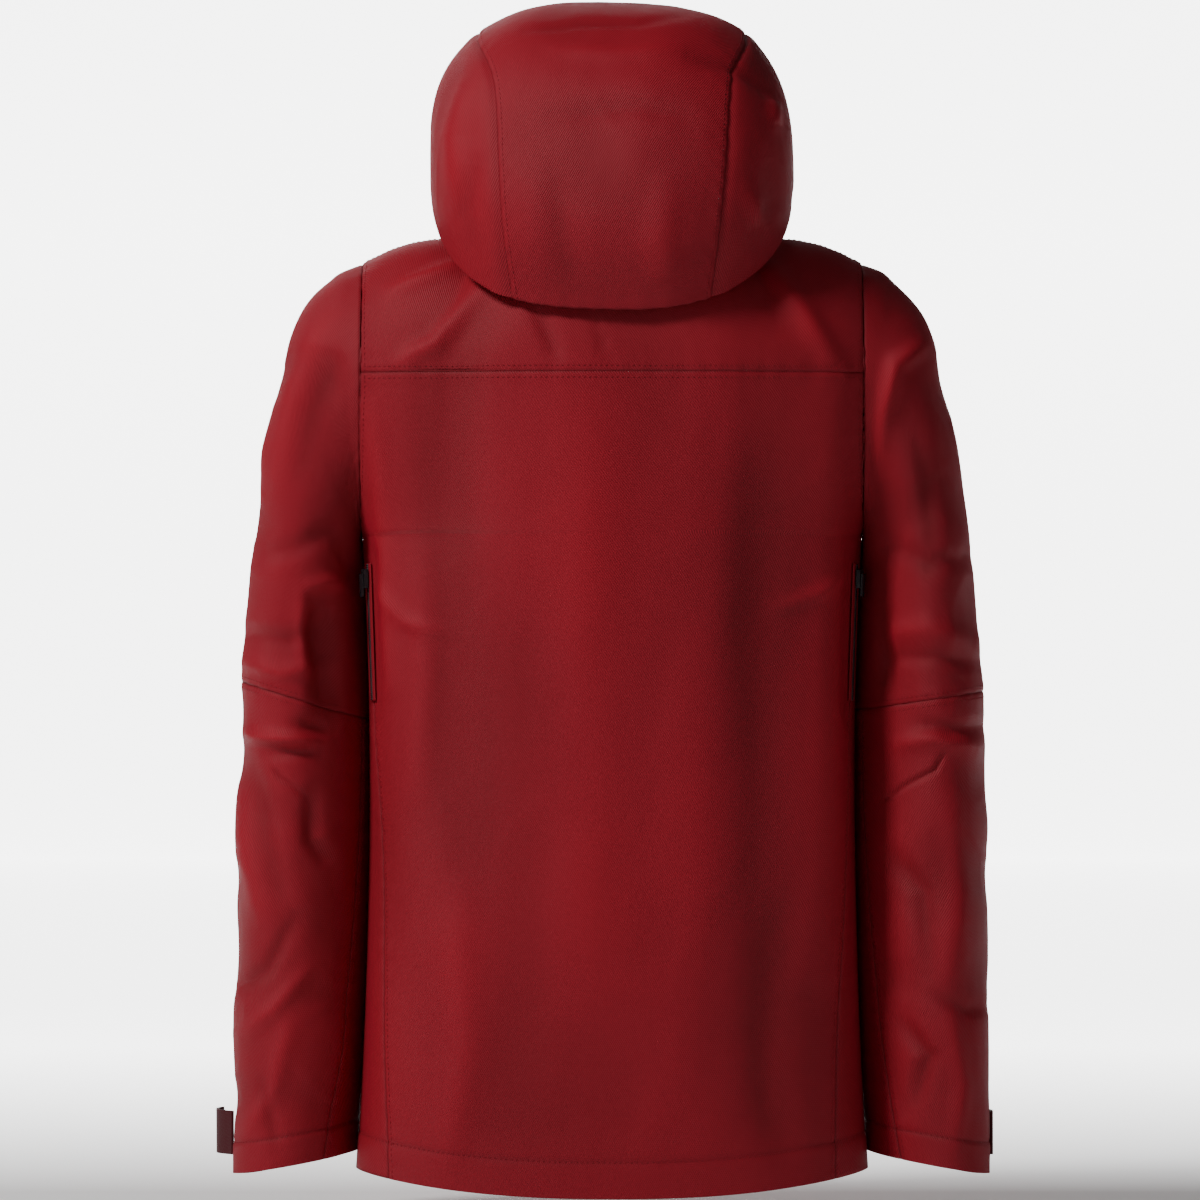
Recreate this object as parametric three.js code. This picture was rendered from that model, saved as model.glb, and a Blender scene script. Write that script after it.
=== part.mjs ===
// A hooded hardshell jacket, built from its separate cut pieces, zips, hood and cuffs.
// Millimetres. +Z is up, the wearer's left is +X and the front faces -Y.
// The origin is the point between the shoulders where the neck seam sits on the wearer.
import * as THREE from "three";
import { mergeVertices } from "three/addons/utils/BufferGeometryUtils.js";

// ---- driving dimensions ----
const FABRIC = 3; // shell, lining and seam tape together
const GAP = 0.4; // between neighbouring pieces
const HEM_Z = -740; // lowest point of the dropped back hem
const HEM_RISE = 18; // how much higher the hem is at the sides and front
const UNDERARM_Z = -222;
const YOKE_Z = -95; // straight yoke seam across the back
const SHOULDER_Z = -12; // shoulder seam where it meets the sleeve
const SHOULDER_HALF = 195; // centre line to the armhole seam
const WAIST_HALF = SHOULDER_HALF - 6;
const WAIST_Z = -420;
const HEM_HALF = SHOULDER_HALF + 4;
const BACK_DEPTH = 120; // centre line to the back of the chest
const HEM_BACK_DEPTH = 114;
const FRONT_HEM_DEPTH = 114; // centre line to the front zip at the hem
const ZIP_LEAN = 0.0175; // how far the straight front zip leans back for each unit of height
const ARMHOLE_DEPTH = 76; // half the armhole, front to back
const NECK_HALF = 84;
const NECK_BACK = 74;
const NECK_BACK_Z = 5;
const NECK_FRONT_Z = -40;
const NECK_ANGLE = 38; // share of the quarter turn, in degrees, that ends at the neck
const COLLAR_TOP_Z = 58;
const GORE_SHARE = 0.36; // share of each quarter that the side panel takes at the hem
const SLEEVE_INNER = HEM_HALF + 4.5; // clear of the widest part of the hem
const SLEEVE_WIDTH = 90.5;
const SLEEVE_OUTER = SLEEVE_INNER + SLEEVE_WIDTH;
const ELBOW_Z = -352;
const CUFF_Z = -720;
const ELBOW_DEPTH = 66;
const CUFF_DEPTH = 56;
const CUFF_HEM = 24;
const HEM_FACING = 24;
const TAPE_WIDTH = 7;
const COIL_WIDTH = 3.4;
const HOOD_HALF = 143;
const HOOD_CENTRE = new THREE.Vector3(0, 10, 65);
const HOOD_POWER = 2.6; // 2 would be an ellipse across, more is boxier
const HOOD_SEAM = 86; // centre line to each side seam of the hood
const NAPE_Y = 119.8; // the lower edge of the hood rests on the neck band
const BRIM = 34;
const BINDING_RADIUS = 2.2;
const TAB_LENGTH = 52;
const TAB_WIDTH = 34;
const TAB_THICK = 2.2;
const TAB_OPEN = { left: 32, right: 0 }; // how far each tab stands open at rest, in degrees
const POCKET_ZIP = 170;
const PIT_ZIP = 110;

const RED = 0x8c2230;
const DARK_RED = 0x571820;
const BLACK = 0x18161a;
const QUARTER = Math.PI / 2;
const BODY_EDGE = SHOULDER_HALF - GAP; // the body stops short of the armhole plane by the gap
const STEP = 1e-3; // short step, in a surface's own two numbers, for finding its slope
const SIDES = [["left", 1], ["right", -1]];

const jacket = new THREE.Group();
const { lerp, degToRad, clamp } = THREE.MathUtils;

// ---- helpers ----
function steps(from, to, count) {
  return Array.from({ length: count + 1 }, (_, i) => lerp(from, to, i / count));
}

function add(name, geometry, color, roughness = 0.75, parent = jacket) {
  const material = new THREE.MeshStandardMaterial({ color, roughness, metalness: 0 });
  const mesh = new THREE.Mesh(geometry, material);
  mesh.name = name;
  parent.add(mesh);
  return mesh;
}

// Merges shared vertices and turns the faces outwards if the bending turned them round.
function closed(geometry) {
  geometry.deleteAttribute("normal");
  geometry.deleteAttribute("uv");
  const merged = mergeVertices(geometry, 1e-3);
  const at = merged.attributes.position;
  const index = merged.index.array;
  const [a, b, c] = [new THREE.Vector3(), new THREE.Vector3(), new THREE.Vector3()];
  let volume = 0;
  for (let i = 0; i < index.length; i += 3) {
    a.fromBufferAttribute(at, index[i]);
    b.fromBufferAttribute(at, index[i + 1]);
    c.fromBufferAttribute(at, index[i + 2]);
    volume += a.dot(b.cross(c));
  }
  if (volume < 0) {
    for (let i = 0; i < index.length; i += 3) {
      [index[i], index[i + 1]] = [index[i + 1], index[i]];
    }
  }
  merged.computeVertexNormals();
  return merged;
}

// The direction square to a surface at (u, v), on the side away from the core point. The short
// steps along the surface are taken towards the middle of the piece, so that they never leave it.
// Where the two steps run along one line, as at the corner of a rounded piece, one of them is
// replaced by a step in both directions at once.
function outward(surface, u, v, core, middle = [0, 0]) {
  const at = surface(u, v);
  const [su, sv] = [u > middle[0] ? -STEP : STEP, v > middle[1] ? -STEP : STEP];
  const du = surface(u + su, v).sub(at);
  let dv = surface(u, v + sv).sub(at);
  if (du.angleTo(dv) < 0.3 || du.angleTo(dv) > Math.PI - 0.3) dv = surface(u + su, v + sv).sub(at);
  const normal = du.cross(dv).normalize();
  return normal.dot(at.sub(core(at))) < 0 ? normal.negate() : normal;
}

// The direction straight away from the core, for a domed piece.
function radial(surface, u, v, core) {
  return surface(u, v).sub(core()).normalize();
}

// A cut piece of fabric: a subdivided box bent so that its outer face lies on the surface, or inset
// behind it, and its inner face lies one wall thickness further in.
function panel(surface, columns, rows, core, wall = FABRIC, inset = 0, way = outward) {
  const box = new THREE.BoxGeometry(1, 1, 1, columns.length - 1, rows.length - 1, 1);
  const at = box.attributes.position;
  const middle = [columns, rows].map((list) => (list[0] + list.at(-1)) / 2);
  for (let i = 0; i < at.count; i++) {
    const u = columns[Math.round((at.getX(i) + 0.5) * (columns.length - 1))];
    const v = rows[Math.round((at.getY(i) + 0.5) * (rows.length - 1))];
    const depth = inset + (at.getZ(i) < 0 ? wall : 0);
    const point = surface(u, v).addScaledVector(way(surface, u, v, core, middle), -depth);
    at.setXYZ(i, point.x, point.y, point.z);
  }
  return closed(box);
}

// A closed sleeve of fabric: a lathed ring of square section, bent so that it follows the surface.
function tube(surface, turns, rows, core, wall = FABRIC, inset = 0) {
  const outer = rows.map((v) => new THREE.Vector2(2, v));
  const inner = rows.map((v) => new THREE.Vector2(1, v)).reverse();
  const lathe = new THREE.LatheGeometry([...outer, ...inner, outer[0]], turns);
  const at = lathe.attributes.position;
  for (let i = 0; i < at.count; i++) {
    const [x, v, z] = [at.getX(i), at.getY(i), at.getZ(i)];
    const angle = Math.atan2(x, z);
    const depth = inset + (Math.hypot(x, z) > 1.5 ? 0 : wall);
    const point = surface(angle, v).addScaledVector(outward(surface, angle, v, core), -depth);
    at.setXYZ(i, point.x, point.y, point.z);
  }
  return closed(lathe);
}

function mirrored(surface, side) {
  return (u, v) => {
    const point = surface(u, v);
    point.x *= side;
    return point;
  };
}

// ---- body of the jacket ----
// Half width of the body: narrowest at the waist, a little wider at the underarm and the hem.
function halfWidth(z) {
  const below = z < WAIST_Z;
  const end = below ? HEM_Z : UNDERARM_Z;
  const extra = (below ? HEM_HALF : BODY_EDGE) - WAIST_HALF;
  return WAIST_HALF + extra * ((z - WAIST_Z) / (end - WAIST_Z)) ** 2;
}

function backDepth(z) {
  return lerp(HEM_BACK_DEPTH, BACK_DEPTH, THREE.MathUtils.smoothstep(z, HEM_Z, YOKE_Z));
}

function frontDepth(z) {
  return FRONT_HEM_DEPTH - ZIP_LEAN * (z - HEM_Z);
}

// Depth of the armhole oval at a height, measured in the plane of the armhole seam.
function armholeDepth(z) {
  const reach = z < YOKE_Z ? YOKE_Z - UNDERARM_Z : SHOULDER_Z - YOKE_Z;
  return ARMHOLE_DEPTH * Math.sqrt(Math.max(0, 1 - ((z - YOKE_Z) / reach) ** 2));
}

// A point of the body below the yoke: turn 0 is the centre back and 2 the centre front, in quarter
// turns. Each quarter is a rounded curve from the centre line to the side or to the armhole seam.
function bodyPoint(turn, height) {
  const front = turn > 1;
  const quarter = (front ? 2 - turn : turn) * QUARTER;
  const share = clamp((height - HEM_Z) / (UNDERARM_Z - HEM_Z), 0, 1);
  const z = height + HEM_RISE * (front ? 1 : Math.sin(quarter) ** 2) * (1 - share);
  const edge = height > UNDERARM_Z ? armholeDepth(height) : 0;
  const half = height > UNDERARM_Z ? BODY_EDGE : halfWidth(height);
  const depth = front ? frontDepth(z) : backDepth(height);
  const power = lerp(0.85, 2, edge / ARMHOLE_DEPTH);
  const x = half * Math.abs(Math.sin(quarter)) ** 0.85 * Math.sign(quarter);
  const y = edge + (depth - edge) * Math.max(0, Math.cos(quarter)) ** power;
  return new THREE.Vector3(x, front ? -y : y, z);
}

// The top edge of the yokes: round the neck first, then out along the shoulder seam.
function topEdge(turn) {
  const front = turn > 1;
  const share = (front ? 2 - turn : turn) * 90 / NECK_ANGLE;
  if (Math.abs(share) <= 1) {
    const angle = share * QUARTER;
    const depth = front ? frontDepth(NECK_FRONT_Z) : NECK_BACK;
    const z = (front ? NECK_FRONT_Z : NECK_BACK_Z) * Math.cos(angle) ** 2;
    return new THREE.Vector3(NECK_HALF * Math.sin(angle), (front ? -1 : 1) * depth * Math.cos(angle), z);
  }
  const out = (Math.abs(share) - 1) / (90 / NECK_ANGLE - 1);
  const x = Math.sign(share) * lerp(NECK_HALF, BODY_EDGE, out);
  return new THREE.Vector3(x, 0, SHOULDER_Z * out);
}

// A point of a yoke: a quarter ellipse from the yoke seam, rising upright, to the top edge. The rise
// runs from 0 at the seam to 1 at the top.
function yokePoint(turn, rise) {
  const low = bodyPoint(turn, YOKE_Z);
  const top = topEdge(turn);
  const angle = rise * QUARTER;
  const x = lerp(low.x, top.x, 1 - Math.cos(angle));
  const y = top.y + (low.y - top.y) * Math.cos(angle);
  return new THREE.Vector3(x, y, low.z + (top.z - low.z) * Math.sin(angle));
}

const bodyCore = (p) => new THREE.Vector3(0, 0, Math.min(p.z, YOKE_Z));
const SKIRT = steps(HEM_Z, UNDERARM_Z - GAP, 10);
const CHEST = steps(UNDERARM_Z, YOKE_Z - GAP / 2, 5);

const SEAM_TURN = GAP / 2 / (SHOULDER_HALF * QUARTER);
const YOKE_TURNS = steps(SEAM_TURN - 1, 1 - SEAM_TURN, 18);
const YOKE_RISES = steps(0.003, 0.997, 6);

// The turn at which the side panel meets the back: it narrows to a point under the arm.
function goreTurn(height) {
  const fall = clamp((UNDERARM_Z - height) / (UNDERARM_Z - HEM_Z), 0, 1);
  return 1 - GORE_SHARE * (0.12 + 0.88 * fall ** 0.8) * (height < UNDERARM_Z ? 1 : 0);
}

function makeBody() {
  const back = (u, h) => bodyPoint(u * (goreTurn(h) - SEAM_TURN), h);
  add("back_panel", panel(back, steps(-1, 1, 18), [...SKIRT, ...CHEST], bodyCore), RED);
  add("back_yoke", panel(yokePoint, YOKE_TURNS, YOKE_RISES, bodyCore), RED);
  for (const [name, side] of SIDES) {
    const zipTurn = 2 - frontTurn(TAPE_WIDTH + GAP);
    const gore = mirrored((u, h) => bodyPoint(1 + u * (1 - goreTurn(h) - SEAM_TURN), h), side);
    add("side_panel_" + name, panel(gore, steps(-1, 1, 6), SKIRT, bodyCore), RED);
    const edge = (h) => 2 - goreTurn(h) + SEAM_TURN;
    const front = mirrored((u, h) => bodyPoint(lerp(edge(h), zipTurn, u), h), side);
    add("front_panel_" + name, panel(front, steps(0, 1, 10), [...SKIRT, ...CHEST], bodyCore), RED);
    const yoke = mirrored((u, r) => yokePoint(lerp(1 + SEAM_TURN, yokeZipTurn(r), u), r), side);
    add("front_yoke_" + name, panel(yoke, steps(0, 1, 10), YOKE_RISES, bodyCore), RED);
  }
}

// How many quarter turns off the centre line a point of the front at half width x lies.
function frontTurn(x) {
  return Math.asin((x / WAIST_HALF) ** (1 / 0.85)) / QUARTER;
}

// The turn at which a front yoke reaches the zip at one rise, found by halving.
function yokeZipTurn(rise) {
  let [far, near] = [1.5, 2];
  for (let i = 0; i < 30; i++) {
    const middle = (far + near) / 2;
    if (yokePoint(middle, rise).x > TAPE_WIDTH + 2 * GAP) far = middle;
    else near = middle;
  }
  return far;
}

// ---- sleeves ----
const flat = (x, z) => new THREE.Vector3(x, 0, z);
const UNDERARM_LINE = new THREE.CatmullRomCurve3([
  flat(SHOULDER_HALF + 0.2, UNDERARM_Z),
  flat(lerp(SHOULDER_HALF, SLEEVE_INNER, 0.4), UNDERARM_Z - 1),
  flat(lerp(SHOULDER_HALF, SLEEVE_INNER, 0.8), UNDERARM_Z - 8),
  flat(SLEEVE_INNER, UNDERARM_Z - 26),
  flat(SLEEVE_INNER, lerp(UNDERARM_Z, ELBOW_Z, 0.6)),
  flat(SLEEVE_INNER, ELBOW_Z),
]);
const SLEEVE_WIDE = SLEEVE_OUTER - SHOULDER_HALF;
const SHOULDER_LINE = new THREE.CatmullRomCurve3([
  flat(SHOULDER_HALF + 0.2, SHOULDER_Z),
  flat(SHOULDER_HALF + 0.26 * SLEEVE_WIDE, SHOULDER_Z - 3),
  flat(SHOULDER_HALF + 0.58 * SLEEVE_WIDE, lerp(SHOULDER_Z, UNDERARM_Z, 0.22)),
  flat(SHOULDER_HALF + 0.79 * SLEEVE_WIDE, lerp(SHOULDER_Z, UNDERARM_Z, 0.66)),
  flat(SHOULDER_HALF + 0.9 * SLEEVE_WIDE, UNDERARM_Z - 30),
  flat(SLEEVE_OUTER - 4, ELBOW_Z),
]);

// A section of the arm between an inner and an outer point: two half ellipses that meet at the
// widest place. Angle 0 is the outer side, a quarter turn is the back.
function armSection(inner, outer, widest, depth, angle) {
  const middle = inner.clone().lerp(outer, widest);
  const reach = Math.cos(angle) > 0 ? outer.clone().sub(middle) : middle.clone().sub(inner);
  const point = middle.addScaledVector(reach, Math.cos(angle));
  point.y = depth * Math.sin(angle);
  return point;
}

const ARMHOLE_WIDEST = (YOKE_Z - UNDERARM_Z) / (SHOULDER_Z - UNDERARM_Z);

function upperArm(angle, along) {
  const share = clamp(along, 0, 1);
  const widest = lerp(ARMHOLE_WIDEST, 0.5, share);
  const depth = lerp(ARMHOLE_DEPTH, ELBOW_DEPTH, share);
  return armSection(UNDERARM_LINE.getPoint(share), SHOULDER_LINE.getPoint(share), widest, depth, angle);
}

function forearm(angle, z) {
  const share = (ELBOW_Z - z) / (ELBOW_Z - CUFF_Z);
  const outer = flat(SLEEVE_OUTER - 4 * (1 - share) ** 2, z);
  return armSection(flat(SLEEVE_INNER, z), outer, 0.5, lerp(ELBOW_DEPTH, CUFF_DEPTH, share), angle);
}

const upperCore = (p) => flat(SLEEVE_INNER + 14, Math.max(p.z, UNDERARM_Z + 6) * 0.5 + p.z * 0.5);
const armCore = (p) => flat((SLEEVE_INNER + SLEEVE_OUTER) / 2, p.z);

// Half the angle that the inner forearm panel takes: it widens towards the cuff.
function innerPanelHalf(z) {
  return degToRad(lerp(30, 62, ((ELBOW_Z - z) / (ELBOW_Z - CUFF_Z)) ** 1.5));
}

// A surface moved outwards by an amount that may change along it.
function raised(surface, core, amount) {
  return (u, v) => surface(u, v).addScaledVector(outward(surface, u, v, core), amount(u, v));
}

const PATCH = 1.2; // thickness of hook and loop fabric
const TAB_LIFT = 2 * PATCH + 3 * GAP; // room under the tab for both patches
const TAB_TOP = CUFF_Z + 14 + TAB_WIDTH;
const TAB_TURN = TAB_LENGTH / ((CUFF_DEPTH + (SLEEVE_OUTER - SLEEVE_INNER) / 2) / 2);

function makeSleeve(name, side) {
  const parts = new THREE.Group();
  parts.scale.x = side;
  jacket.add(parts);
  const upper = tube(upperArm, 22, steps(0, 1, 8), upperCore);
  add("upper_sleeve_" + name, upper, RED, 0.75, parts);
  const rows = steps(ELBOW_Z - GAP, CUFF_Z, 10);
  const seam = GAP / 2 / CUFF_DEPTH;
  const inner = (u, z) => forearm(Math.PI + u * (innerPanelHalf(z) - seam), z);
  const outer = (u, z) => forearm(u * (Math.PI - innerPanelHalf(z) - seam), z);
  add("forearm_inner_" + name, panel(inner, steps(-1, 1, 8), rows, armCore), RED, 0.75, parts);
  add("forearm_outer_" + name, panel(outer, steps(-1, 1, 14), rows, armCore), RED, 0.75, parts);
  const cuffRows = steps(CUFF_Z + CUFF_HEM, CUFF_Z, 2);
  const cuff = tube(forearm, 24, cuffRows, armCore, 2, FABRIC + 2.5 * GAP);
  add("cuff_hem_" + name, cuff, DARK_RED, 0.85, parts);

  const patchRows = steps(CUFF_Z + 16, TAB_TOP - 2, 2);
  const patchTurns = steps(-0.95 * TAB_TURN, -0.45 * TAB_TURN, 5);
  const loop = panel(forearm, patchTurns, patchRows, armCore, PATCH, -PATCH - GAP);
  add("cuff_loop_patch_" + name, loop, BLACK, 0.95, parts);
  const lift = (u) => GAP + (TAB_LIFT - GAP) * THREE.MathUtils.smoothstep(-u, 0.03, 0.4 * TAB_TURN);
  const tabSurface = raised(forearm, armCore, (u) => lift(u) + TAB_THICK);
  const tabRows = steps(CUFF_Z + 14, TAB_TOP, 3);
  const hinge = new THREE.Group();
  const axis = new THREE.Vector3(SLEEVE_OUTER + GAP, 0, 0);
  hinge.position.copy(axis);
  hinge.rotation.z = degToRad(TAB_OPEN[name]);
  parts.add(hinge);
  const onTab = (geometry) => geometry.translate(-axis.x, -axis.y, 0);
  const tab = panel(tabSurface, steps(-TAB_TURN, 0, 8), tabRows, armCore, TAB_THICK);
  add("cuff_tab_" + name, onTab(tab), DARK_RED, 0.8, hinge);
  const hook = panel(forearm, patchTurns, patchRows, armCore, PATCH, -2 * PATCH - 2 * GAP);
  add("tab_hook_patch_" + name, onTab(hook), BLACK, 0.95, hinge);
}

// ---- hood ----
// The middle line of the hood from the brow over the crown to the lower edge behind the neck.
const HOOD_LINE = new THREE.CatmullRomCurve3([
  new THREE.Vector3(0, -112, 150),
  new THREE.Vector3(0, -68, 182),
  new THREE.Vector3(0, 0, 193),
  new THREE.Vector3(0, 68, 180),
  new THREE.Vector3(0, 120, 134),
  new THREE.Vector3(0, 145, 66),
  new THREE.Vector3(0, 144, 4),
  new THREE.Vector3(0, NAPE_Y, -46),
]);

// How much a slice of the hood shrinks towards its centre at a distance from the middle line.
function hoodShrink(x) {
  return (1 - clamp(Math.abs(x) / HOOD_HALF, 0, 1) ** HOOD_POWER) ** (1 / HOOD_POWER);
}

function hoodPoint(x, along) {
  const point = HOOD_LINE.getPoint(clamp(along, 0, 1)).sub(HOOD_CENTRE);
  point.multiplyScalar(hoodShrink(x)).add(HOOD_CENTRE);
  point.x = x;
  return point;
}

// The free lower edge of the hood side, from behind the neck forward to the chin, and the face edge
// from the chin up to the brow.
const HOOD_LOWER = new THREE.CatmullRomCurve3([
  hoodPoint(HOOD_SEAM + GAP, 1),
  new THREE.Vector3(118, 62, 4),
  new THREE.Vector3(128, 0, 14),
  new THREE.Vector3(112, -60, 12),
  new THREE.Vector3(92, -88, 16),
]);
const HOOD_FACE = new THREE.CatmullRomCurve3([
  new THREE.Vector3(92, -88, 16),
  new THREE.Vector3(106, -100, 70),
  new THREE.Vector3(104, -104, 110),
  hoodPoint(HOOD_SEAM + GAP, 0),
]);

// The outline of a hood side as one closed run: seam, lower edge, face edge.
function hoodOutline(share) {
  const run = (share + 1) % 1;
  if (run < 0.5) return hoodPoint(HOOD_SEAM + GAP, run * 2);
  return run < 0.75 ? HOOD_LOWER.getPoint((run - 0.5) * 4) : HOOD_FACE.getPoint((run - 0.75) * 4);
}

// A square with corners at +-1 laid onto the hood side: square rings become shrunken outlines. The
// width follows the same rounded curve that shapes the slices.
function hoodSide(a, b) {
  const ring = Math.max(Math.abs(a), Math.abs(b));
  const [p, q] = ring ? [a / ring, b / ring] : [1, 0];
  let run = p >= 1 - 1e-9 ? (q + 1) / 8 : 0.25 + (1 - p) / 8;
  if (p <= -1 + 1e-9) run = 0.5 + (1 - q) / 8;
  else if (q <= -1 + 1e-9 && p < 1 - 1e-9) run = 0.75 + (p + 1) / 8;
  const edge = hoodOutline(run);
  const point = edge.clone().sub(HOOD_CENTRE).multiplyScalar(ring).add(HOOD_CENTRE);
  const sunk = ring ** HOOD_POWER * (1 - (edge.x / HOOD_HALF) ** HOOD_POWER);
  point.x = HOOD_HALF * (1 - sunk) ** (1 / HOOD_POWER);
  return point;
}

const hoodCore = () => HOOD_CENTRE;

function makeHood() {
  const dome = [hoodCore, FABRIC, 0, radial];
  const centre = panel(hoodPoint, steps(-HOOD_SEAM, HOOD_SEAM, 10), steps(0, 1, 20), ...dome);
  add("hood_centre_panel", centre, RED);
  for (const [name, side] of SIDES) {
    const part = panel(mirrored(hoodSide, side), steps(-1, 1, 10), steps(-1, 1, 10), ...dome);
    add("hood_side_" + name, part, RED);
  }
}

// The neck band runs from the neck seam down the yoke to the hood's lower edge.
const BAND = 2;

function makeHoodTrim() {
  const turns = YOKE_TURNS.slice(7, 12);
  const band = panel(yokePoint, turns, YOKE_RISES.slice(2, 6), bodyCore, BAND, -BAND - 4 * GAP);
  add("hood_neck_band", band, RED);
  const brim = (x, out) => {
    const reach = GAP + out * BRIM * (1 - 0.45 * (x / HOOD_SEAM) ** 2);
    return hoodPoint(x, 0).add(new THREE.Vector3(0, -reach, -0.16 * reach));
  };
  add("hood_brim", panel(brim, steps(-74, 74, 10), steps(0.01, 1, 3), hoodCore, 2.4), DARK_RED);
  const ahead = new THREE.Vector3(1, -BINDING_RADIUS - 1.4 * GAP, 0);
  const path = new THREE.CatmullRomCurve3(HOOD_FACE.getPoints(8).slice(0, 8).map((p) => p.add(ahead)));
  const section = new THREE.Shape().absarc(0, 0, BINDING_RADIUS, 0, 2 * Math.PI, false);
  const options = { steps: 16, extrudePath: path, curveSegments: 8 };
  for (const [name, side] of SIDES) {
    const binding = new THREE.ExtrudeGeometry(section, options);
    add("face_binding_" + name, closed(binding.scale(side, 1, 1)), DARK_RED);
  }
}

// ---- collar, facings and loop ----
function collarPoint(angle, rise) {
  const front = Math.abs(angle) > QUARTER;
  const base = (front ? NECK_FRONT_Z : NECK_BACK_Z) * Math.cos(angle) ** 2 + 3 * GAP;
  const z = lerp(base, COLLAR_TOP_Z, rise);
  const depth = front ? frontDepth(z) : NECK_BACK;
  return new THREE.Vector3(NECK_HALF * Math.sin(angle), depth * Math.cos(angle), z);
}

function hemLoop(turn, height) {
  const point = bodyPoint(Math.abs(turn), height);
  point.x *= Math.sign(turn) || 1;
  return point;
}

const POCKET_LOW = -600;
const BAG_DROP = 30; // how far the pocket bag hangs below its zip
const BAG_TURNS = [1.3, 1.66];
const LOOP_HALF = 24;
const LOOP_STAND = 8; // how far the middle of the loop stands off the collar
const LOOP_ROOT_Y = NECK_BACK * Math.cos(Math.asin(LOOP_HALF / NECK_HALF)) - FABRIC - 0.7;

// The hanger loop: a strap that leaves the collar at both ends and is flat in the middle.
function loopPoint(u, across) {
  const out = Math.min(1, 1.25 * (1 - u * u));
  return new THREE.Vector3(LOOP_HALF * u, LOOP_ROOT_Y - LOOP_STAND * out, 16 - 12 * out + across);
}

function makeInside() {
  const zipEdge = Math.PI - Math.asin((TAPE_WIDTH + GAP) / NECK_HALF);
  const neckCore = (p) => new THREE.Vector3(0, 0, p.z);
  add("collar", panel(collarPoint, steps(-zipEdge, zipEdge, 28), steps(0, 1, 3), neckCore), RED);
  const end = frontTurn(TAPE_WIDTH + GAP);
  const rows = steps(HEM_Z, HEM_Z + HEM_FACING, 1);
  const facing = panel(hemLoop, steps(end - 2, 2 - end, 36), rows, neckCore, 1.6, FABRIC + 2 * GAP);
  add("hem_facing", facing, DARK_RED);
  const strap = panel(loopPoint, steps(-1, 1, 10), [-4, 4], () => new THREE.Vector3(), 1.4);
  add("hanger_loop", strap, BLACK);
  for (const [name, side] of SIDES) {
    const bag = mirrored(bodyPoint, side);
    const bagRows = steps(POCKET_LOW - BAG_DROP, POCKET_LOW + POCKET_ZIP, 4);
    const part = panel(bag, steps(...BAG_TURNS, 5), bagRows, bodyCore, 1.5, FABRIC + 2 * GAP);
    add("pocket_bag_" + name, part, BLACK);
  }
}

// ---- zips ----
const TAPE_THICK = 1.2;
const COIL_PROUD = 0.6;
const SLIDER = { width: 9, length: 14, thick: 3 };
const PULLER = { width: 6, length: 24, thick: 1.6, hole: 1.6 };
const PIT_TOP = -246;
const POCKET_TURN = 1.48; // quarter turns from the centre back, as for every place on the body
const PIT_TURN = 0.84;

// A group whose own Z runs up a straight zip and whose own -Y faces out of the jacket.
function zipGroup(bottom, top, facing) {
  const up = top.clone().sub(bottom).normalize();
  const inwards = facing.clone().addScaledVector(up, -facing.dot(up)).normalize().negate();
  const across = inwards.clone().cross(up);
  const group = new THREE.Group();
  group.applyMatrix4(new THREE.Matrix4().makeBasis(across, inwards, up).setPosition(bottom));
  jacket.add(group);
  return group;
}

// A bar along the zip: from x0 to x1 across, y0 to y1 in depth and z0 to z1 along it.
function bar([x0, x1], [y0, y1], [z0, z1]) {
  const box = new THREE.BoxGeometry(x1 - x0, y1 - y0, z1 - z0);
  return closed(box.translate((x0 + x1) / 2, (y0 + y1) / 2, (z0 + z1) / 2));
}

// An outline in X and Z, made as thick as asked, with its front face at y = front.
function plate(shape, thick, front) {
  const geometry = new THREE.ExtrudeGeometry(shape, { depth: thick, bevelEnabled: false, curveSegments: 6 });
  return closed(geometry.rotateX(QUARTER).translate(0, front + thick, 0));
}

// The slider is a shield, wide at the top where the two sides meet it; the puller hangs from it.
function addSlider(name, group, top, puller = PULLER) {
  const face = -COIL_PROUD - GAP;
  const half = SLIDER.width / 2;
  const shield = new THREE.Shape();
  shield.moveTo(-0.7 * half, -SLIDER.length);
  shield.lineTo(0.7 * half, -SLIDER.length);
  shield.quadraticCurveTo(half, -0.4 * SLIDER.length, half, 0);
  shield.quadraticCurveTo(0, 2, -half, 0);
  shield.quadraticCurveTo(-half, -0.4 * SLIDER.length, -0.7 * half, -SLIDER.length);
  const body = plate(shield, SLIDER.thick, face - SLIDER.thick);
  add(name + "_slider", body.translate(0, 0, top), BLACK, 0.4, group);
  const wide = puller.width / 2;
  const tab = new THREE.Shape();
  tab.moveTo(-wide, 0);
  tab.lineTo(-wide, wide - puller.length);
  tab.absarc(0, wide - puller.length, wide, Math.PI, 2 * Math.PI, false);
  tab.lineTo(wide, 0);
  tab.holes.push(new THREE.Path().absarc(0, wide - puller.length, puller.hole, 0, 2 * Math.PI, true));
  const pull = plate(tab, puller.thick, face - SLIDER.thick - GAP - puller.thick);
  add(name + "_puller", pull.translate(0, 0, top - 3), BLACK, 0.5, group);
}

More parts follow.
